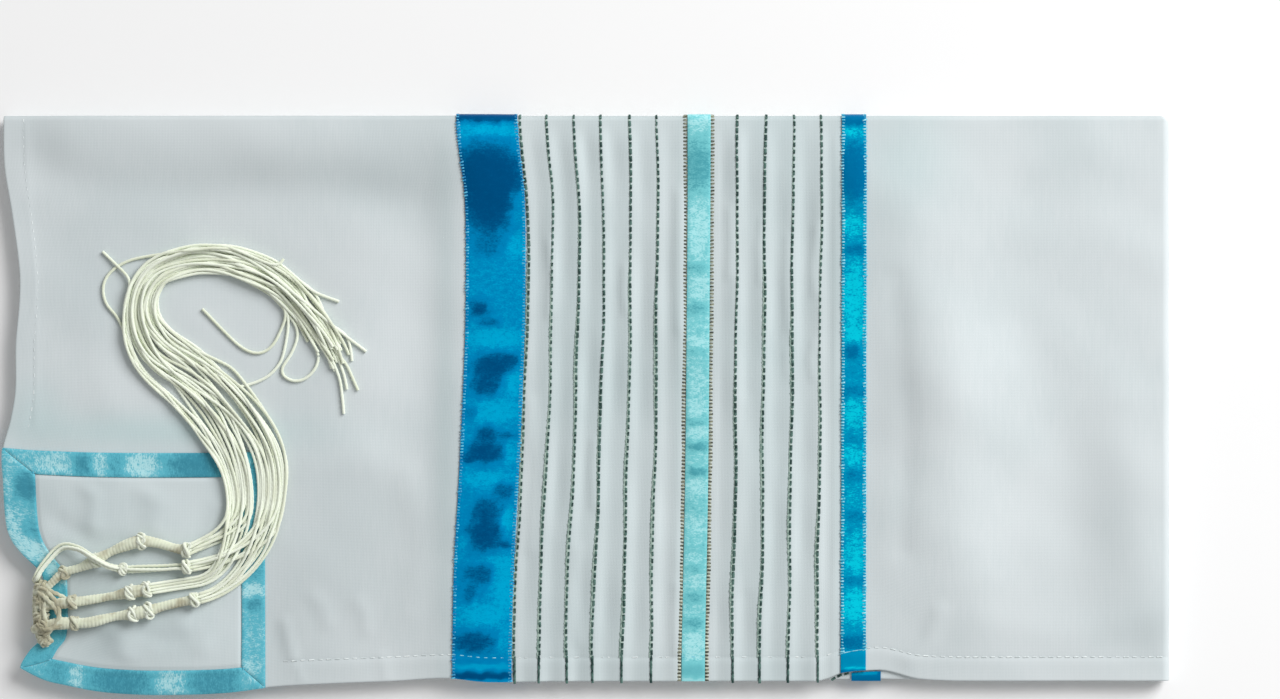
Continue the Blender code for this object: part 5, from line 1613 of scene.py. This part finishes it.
windings = (  # turns, crossings, radius of the yarn, length along the cord, how much wider
    (2, 3, 0.62, 1.15, 0.0), (2, 5, 0.55, 1.5, -0.2), (1, 2, 0.66, 1.3, 0.3),
)


def knotLoops(centre, run, radius, random):
    # a yarn wound twice round the cord over and under itself, and a second one across it
    run = run / np.linalg.norm(run)
    side = np.cross([0.0, 0.0, 1.0], run)
    side /= np.linalg.norm(side)
    above = np.cross(run, side)
    loops = []
    for turns, crossings, yarn, length, grown in windings:
        t = np.linspace(0.0, 2 * math.pi, 24 * turns + 1)
        angle = turns * t + random.uniform(0, 2 * math.pi)
        swing = crossings * t + random.uniform(0, 2 * math.pi)
        reach = radius - 0.45 + grown + 0.38 * np.cos(swing) + random.uniform(-0.1, 0.15)
        ring = (
            centre + np.cos(angle)[:, None] * side * reach[:, None]
            + np.sin(angle)[:, None] * above * reach[:, None] * 0.9
            + np.sin(swing)[:, None] * run * length
        )
        loops.append((ring, yarn))
    return loops


def closedTube(ring, radius, sides):
    # a tube round a closed loop, whose last place repeats its first
    path = ring[:-1]
    run = np.roll(path, -1, 0) - np.roll(path, 1, 0)
    run /= np.linalg.norm(run, axis=1, keepdims=True)
    middle = path.mean(0)
    outwards = path - middle
    outwards -= run * (outwards * run).sum(1, keepdims=True)
    outwards /= np.linalg.norm(outwards, axis=1, keepdims=True)
    third = np.cross(run, outwards)
    angles = 2 * math.pi * np.arange(sides) / sides
    spokes = np.cos(angles)[None, :, None] * outwards[:, None]
    spokes = spokes + np.sin(angles)[None, :, None] * third[:, None]
    points = path[:, None] + spokes * radius
    number = np.arange(points.shape[0] * sides).reshape(points.shape[0], sides)
    along, around = np.roll(number, -1, axis=0), np.roll(number, -1, axis=1)
    both = np.roll(along, -1, axis=1)
    faces = np.stack([number, around, both, along], -1).reshape(-1, 4)
    uv = np.stack(np.broadcast_arrays(angles[None] * 0.6, np.arange(len(path))[:, None] * 0.7), -1)
    return points.reshape(-1, 3), faces.tolist(), uv.reshape(-1, 2) * mm


def cordPath(tassel):
    rows = cords[tassel]
    shares = np.linspace(0.0, 1.0, 40 * len(rows))
    place = smoothPath([row[:3] for row in rows], shares)
    radius = smoothPath([(row[3], 0.0, 0.0) for row in rows], shares)[:, 0]
    height = layHeight(np.maximum(place[:, 0], 18.0), place[:, 1])
    rows = np.concatenate([place[:, :2], (height + place[:, 2])[:, None], radius[:, None]], 1)
    return evenly(rows, tassels["cordStep"])


def makeTassels():
    random = np.random.default_rng(tassels["seed"])
    names, routes, heads = [], [], []
    for tassel in cords:
        for strand in range(tassels["strands"]):
            names.append(tassel)
            routes.append(strandRoute(tassel, strand, random))
            top = cords[tassel][-1]
            ground = layHeight(np.array([top[0]]), np.array([top[1]]))[0]
            heads.append(ground + top[2] + 1.25 * (strand // 4) - 0.65)
    order = random.permutation(len(routes))
    straysLast = sorted(order, key=lambda k: len(routes[k]) < 250)
    laid = drape([routes[k] for k in straysLast], [heads[k] for k in straysLast])
    byStrand = dict(zip(straysLast, laid))
    made = {}
    for tassel in cords:
        parts = []
        path = cordPath(tassel)
        if tassel == "tassel_2":
            # its strings run loose, two by two, before the last knot
            for number, (aside, raised) in enumerate(((-0.62, -0.3), (0.62, -0.2), (-0.1, 0.75))):
                run = np.gradient(path[:, :3], axis=0)
                run /= np.linalg.norm(run, axis=1, keepdims=True)
                side = np.cross([0.0, 0.0, 1.0], run)
                side /= np.maximum(np.linalg.norm(side, axis=1, keepdims=True), 1e-6)
                turnOf = 0.35 * np.sin(np.arange(len(path)) * tassels["cordStep"] / 9.0 + number)
                spread = np.clip(path[:, 3:4], 0.8, 1.5)
                apart = 1.0 + 0.9 * np.exp(-(((path[:, 0:1] - 24.0) / 8.0) ** 2))
                line = path[:, :3] + side * (aside * apart + turnOf[:, None] * 0.8) * spread
                line[:, 2] += raised * spread[:, 0]
                parts.append(tubeAround(line[::3], np.full(len(line[::3]), tassels["looseRadius"]),
                                        tassels["sides"], tassels["plyTurn"], tassels["looseDepth"]))
        else:
            uneven = 0.12 * np.sin(np.arange(len(path)) * tassels["cordStep"] / 2.3 + len(path))
            radii = path[:, 3] - tassels["cordRibs"][1] + uneven
            parts.append(tubeAround(path[:, :3], radii, tassels["cordSides"], ribs=tassels["cordRibs"]))
        for row in knots[tassel]:
            spot = cords[tassel][row]
            near = np.argmin(np.hypot(path[:, 0] - spot[0], path[:, 1] - spot[1]))
            around = path[min(near + 4, len(path) - 1), :3] - path[max(near - 4, 0), :3]
            for ring, yarn in knotLoops(path[near, :3], around, max(path[near, 3] + 0.15, 2.0), random):
                parts.append(closedTube(ring, yarn, tassels["knotSides"]))
        for number, name in enumerate(names):
            if name == tassel:
                line = byStrand[number]
                parts.append(tubeAround(line, np.full(len(line), tassels["radius"]), tassels["sides"],
                                        tassels["plyTurn"], tassels["plyDepth"]))
        made[tassel] = parts
    return made


rootLoops = (  # each a yarn round the cloth's edge, where the cords come up
    ((15.2, 48.4, -1.2), (14.0, 44.0, -0.4), (13.6, 38.0, 0.2), (13.8, 31.0, 0.2), (14.6, 25.0, -0.2),
     (16.0, 20.6, -1.0)),
    ((16.4, 47.4, 0.8), (15.4, 43.0, 1.7), (14.6, 37.0, 2.2), (15.4, 30.0, 2.3), (15.6, 24.0, 1.6),
     (17.6, 19.8, 0.9)),
    ((18.4, 47.0, 1.4), (16.4, 42.0, 3.1), (17.2, 36.0, 3.6), (16.4, 30.0, 3.8), (18.2, 24.4, 2.8),
     (18.8, 20.2, 1.2)),
    ((19.8, 45.6, 1.2), (19.4, 41.0, 3.4), (18.0, 35.0, 4.5), (19.2, 28.6, 4.1), (19.4, 24.0, 2.6),
     (21.0, 22.0, 1.2)),
    ((17.0, 46.0, 3.4), (20.4, 43.0, 3.0), (24.6, 41.0, 2.6), (28.0, 39.4, 3.2), (31.4, 39.0, 2.2)),
    ((15.4, 42.6, 3.2), (19.0, 40.0, 4.8), (22.6, 36.0, 4.6), (24.8, 31.4, 3.6), (27.4, 28.6, 2.4)),
    ((18.4, 24.8, 3.6), (21.8, 28.0, 5.0), (24.4, 33.0, 4.8), (23.0, 38.4, 4.2), (19.6, 42.4, 3.6)),
    ((15.0, 29.4, 3.4), (19.2, 27.4, 5.2), (23.6, 28.6, 5.2), (28.0, 30.6, 4.2), (32.4, 30.6, 2.2)),
)
rootWraps = ((16.8, 44.0, 2.7), (16.6, 38.6, 3.0), (16.6, 32.4, 3.1), (17.0, 26.8, 2.8), (17.8, 22.6, 2.2))
rootYarn = {
    "radius": 0.88, "sides": 9, "turn": 5.0, "depth": 0.14, "places": 46, "across": 19.0,
    "darkBefore": 36.0, "seed": 61,
}


def tasselPiece(tassel, parts):
    tones = []
    for number, (partPoints, _, _) in enumerate(parts):
        tone = 0.2 + 0.16 * math.sin(2.4 * number + int(tassel[-1]))
        if number == 0 and tassel != "tassel_2":
            tone = -0.12  # the wound cord
        # painted shade: the yarns of the tangled root, left of darkBefore, are coloured darker
        if partPoints[:, 0].max() < rootYarn["darkBefore"]:
            tone = -0.2
        tones.append(np.full(len(partPoints), tone))
    name = "knotted_" + tassel
    mesh = meshFrom(name, *joinParts(parts), {"tone": np.concatenate(tones)}, 70)
    return linkPiece(name, mesh, "yarn")


tasselParts = makeTassels()
for loop in rootLoops:
    rootPath = smoothPath(loop, np.linspace(0.0, 1.0, rootYarn["places"]))
    rootPath[:, 2] += layHeight(np.full(rootYarn["places"], rootYarn["across"]), rootPath[:, 1])
    radii = np.full(rootYarn["places"], rootYarn["radius"])
    tasselParts["tassel_3"].append(tubeAround(
        rootPath, radii, rootYarn["sides"], rootYarn["turn"], rootYarn["depth"]))
rootRandom = np.random.default_rng(rootYarn["seed"])
for x, y, reach in rootWraps:
    ground = layHeight(np.array([rootYarn["across"]]), np.array([y]))[0]
    for ring, yarn in knotLoops(np.array([x, y, ground + 1.2]), np.array([0.1, 1.0, 0.0]), reach, rootRandom):
        tasselParts["tassel_4"].append(closedTube(ring, yarn, tassels["knotSides"]))
tasselPieces = {name: tasselPiece(name, parts) for name, parts in tasselParts.items()}
print("tassels made:", sum(len(p.data.polygons) for p in tasselPieces.values()), "faces")


# What each piece rides on and stands for

def settle(piece, slotName, *replaced):
    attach(piece, "root")
    if replaced:
        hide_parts(*replaced)


settle(clothTop, "cloth", "shawl_top")
settle(foldedLayers, "cloth", "under_layers")
for piece, settings in zip(ribbons, (wideRibbon, lightRibbon, narrowRibbon)):
    settle(piece, "light_ribbon" if settings is lightRibbon else "dark_ribbon", settings["replaces"])
settle(ribbonEnd, "dark_ribbon", "lower_ribbon_end")
for piece, slotName in zip(layerBands, ("dark_ribbon", "light_ribbon", "patch_ribbon")):
    settle(piece, slotName)
settle(cornerPatch, "cloth", "corner_panel")
for side, piece in zip(cornerSides, cornerBands):
    settle(piece, "patch_ribbon", "corner_ribbon_" + side)
for piece in sewnPieces:
    settle(piece, "dark_ribbon" if "wide" in piece.name or "narrow" in piece.name else "yarn")
for name, piece in tasselPieces.items():
    settle(piece, "yarn", name)

print("pieces settled")


# Floor, light and camera

studio = {
    "floor": srgb(250, 250, 250),
    "floorSize": 6.0,
    "worldStrength": 0.38,
    "keyPower": 86.0,
    "keySize": 1.7,
    "keyPlace": (1.78, 1.44, 1.78),
    "cameraPlace": (0.0222, 0.0222, 1.466),
    "lens": 100.0,
}


def makeFloor():
    size = studio["floorSize"] / 2
    mesh = bpy.data.meshes.new("studio_floor")
    corners = [(-size, -size, 0.0), (size, -size, 0.0), (size, size, 0.0), (-size, size, 0.0)]
    mesh.from_pydata(corners, [], [(0, 1, 2, 3)])
    material, nodes, links, shader = newMaterial("paleFloor", 0.9, specular=0.1)
    place = nodes.new("ShaderNodeTexCoord").outputs["Object"]
    grain = scaledNoise(nodes, links, place, 3.0)
    links.new(rampNode(nodes, links, grain, [(0.3, srgb(249, 249, 249)), (0.7, studio["floor"])]),
              shader.inputs["Base Color"])
    mesh.materials.append(material)
    floor = bpy.data.objects.new("studio_floor", mesh)
    floor.location = (0.0, 0.0, -0.0002)
    bpy.context.scene.collection.objects.link(floor)


def makeLight():
    world = bpy.data.worlds.new("softStudio")
    world.use_nodes = True
    background = world.node_tree.nodes["Background"]
    background.inputs["Color"].default_value = (1.0, 1.0, 1.0, 1.0)
    background.inputs["Strength"].default_value = studio["worldStrength"]
    bpy.context.scene.world = world
    lamp = bpy.data.lights.new("key", "AREA")
    lamp.shape = "SQUARE"
    lamp.size = studio["keySize"]
    lamp.energy = studio["keyPower"]
    key = bpy.data.objects.new("key", lamp)
    key.location = studio["keyPlace"]
    key.rotation_euler = (-Vector(studio["keyPlace"])).to_track_quat("-Z", "Y").to_euler()
    bpy.context.scene.collection.objects.link(key)


def makeCamera():
    lens = bpy.data.cameras.new("photo_view")
    lens.lens = studio["lens"]
    lens.sensor_width = 36.0
    lens.clip_start = 0.01
    camera = bpy.data.objects.new("photo_view", lens)
    camera.location = studio["cameraPlace"]
    bpy.context.scene.collection.objects.link(camera)
    bpy.context.scene.camera = camera


makeFloor()
makeLight()
makeCamera()
bpy.context.scene.view_settings.view_transform = "Standard"
print("studio made")
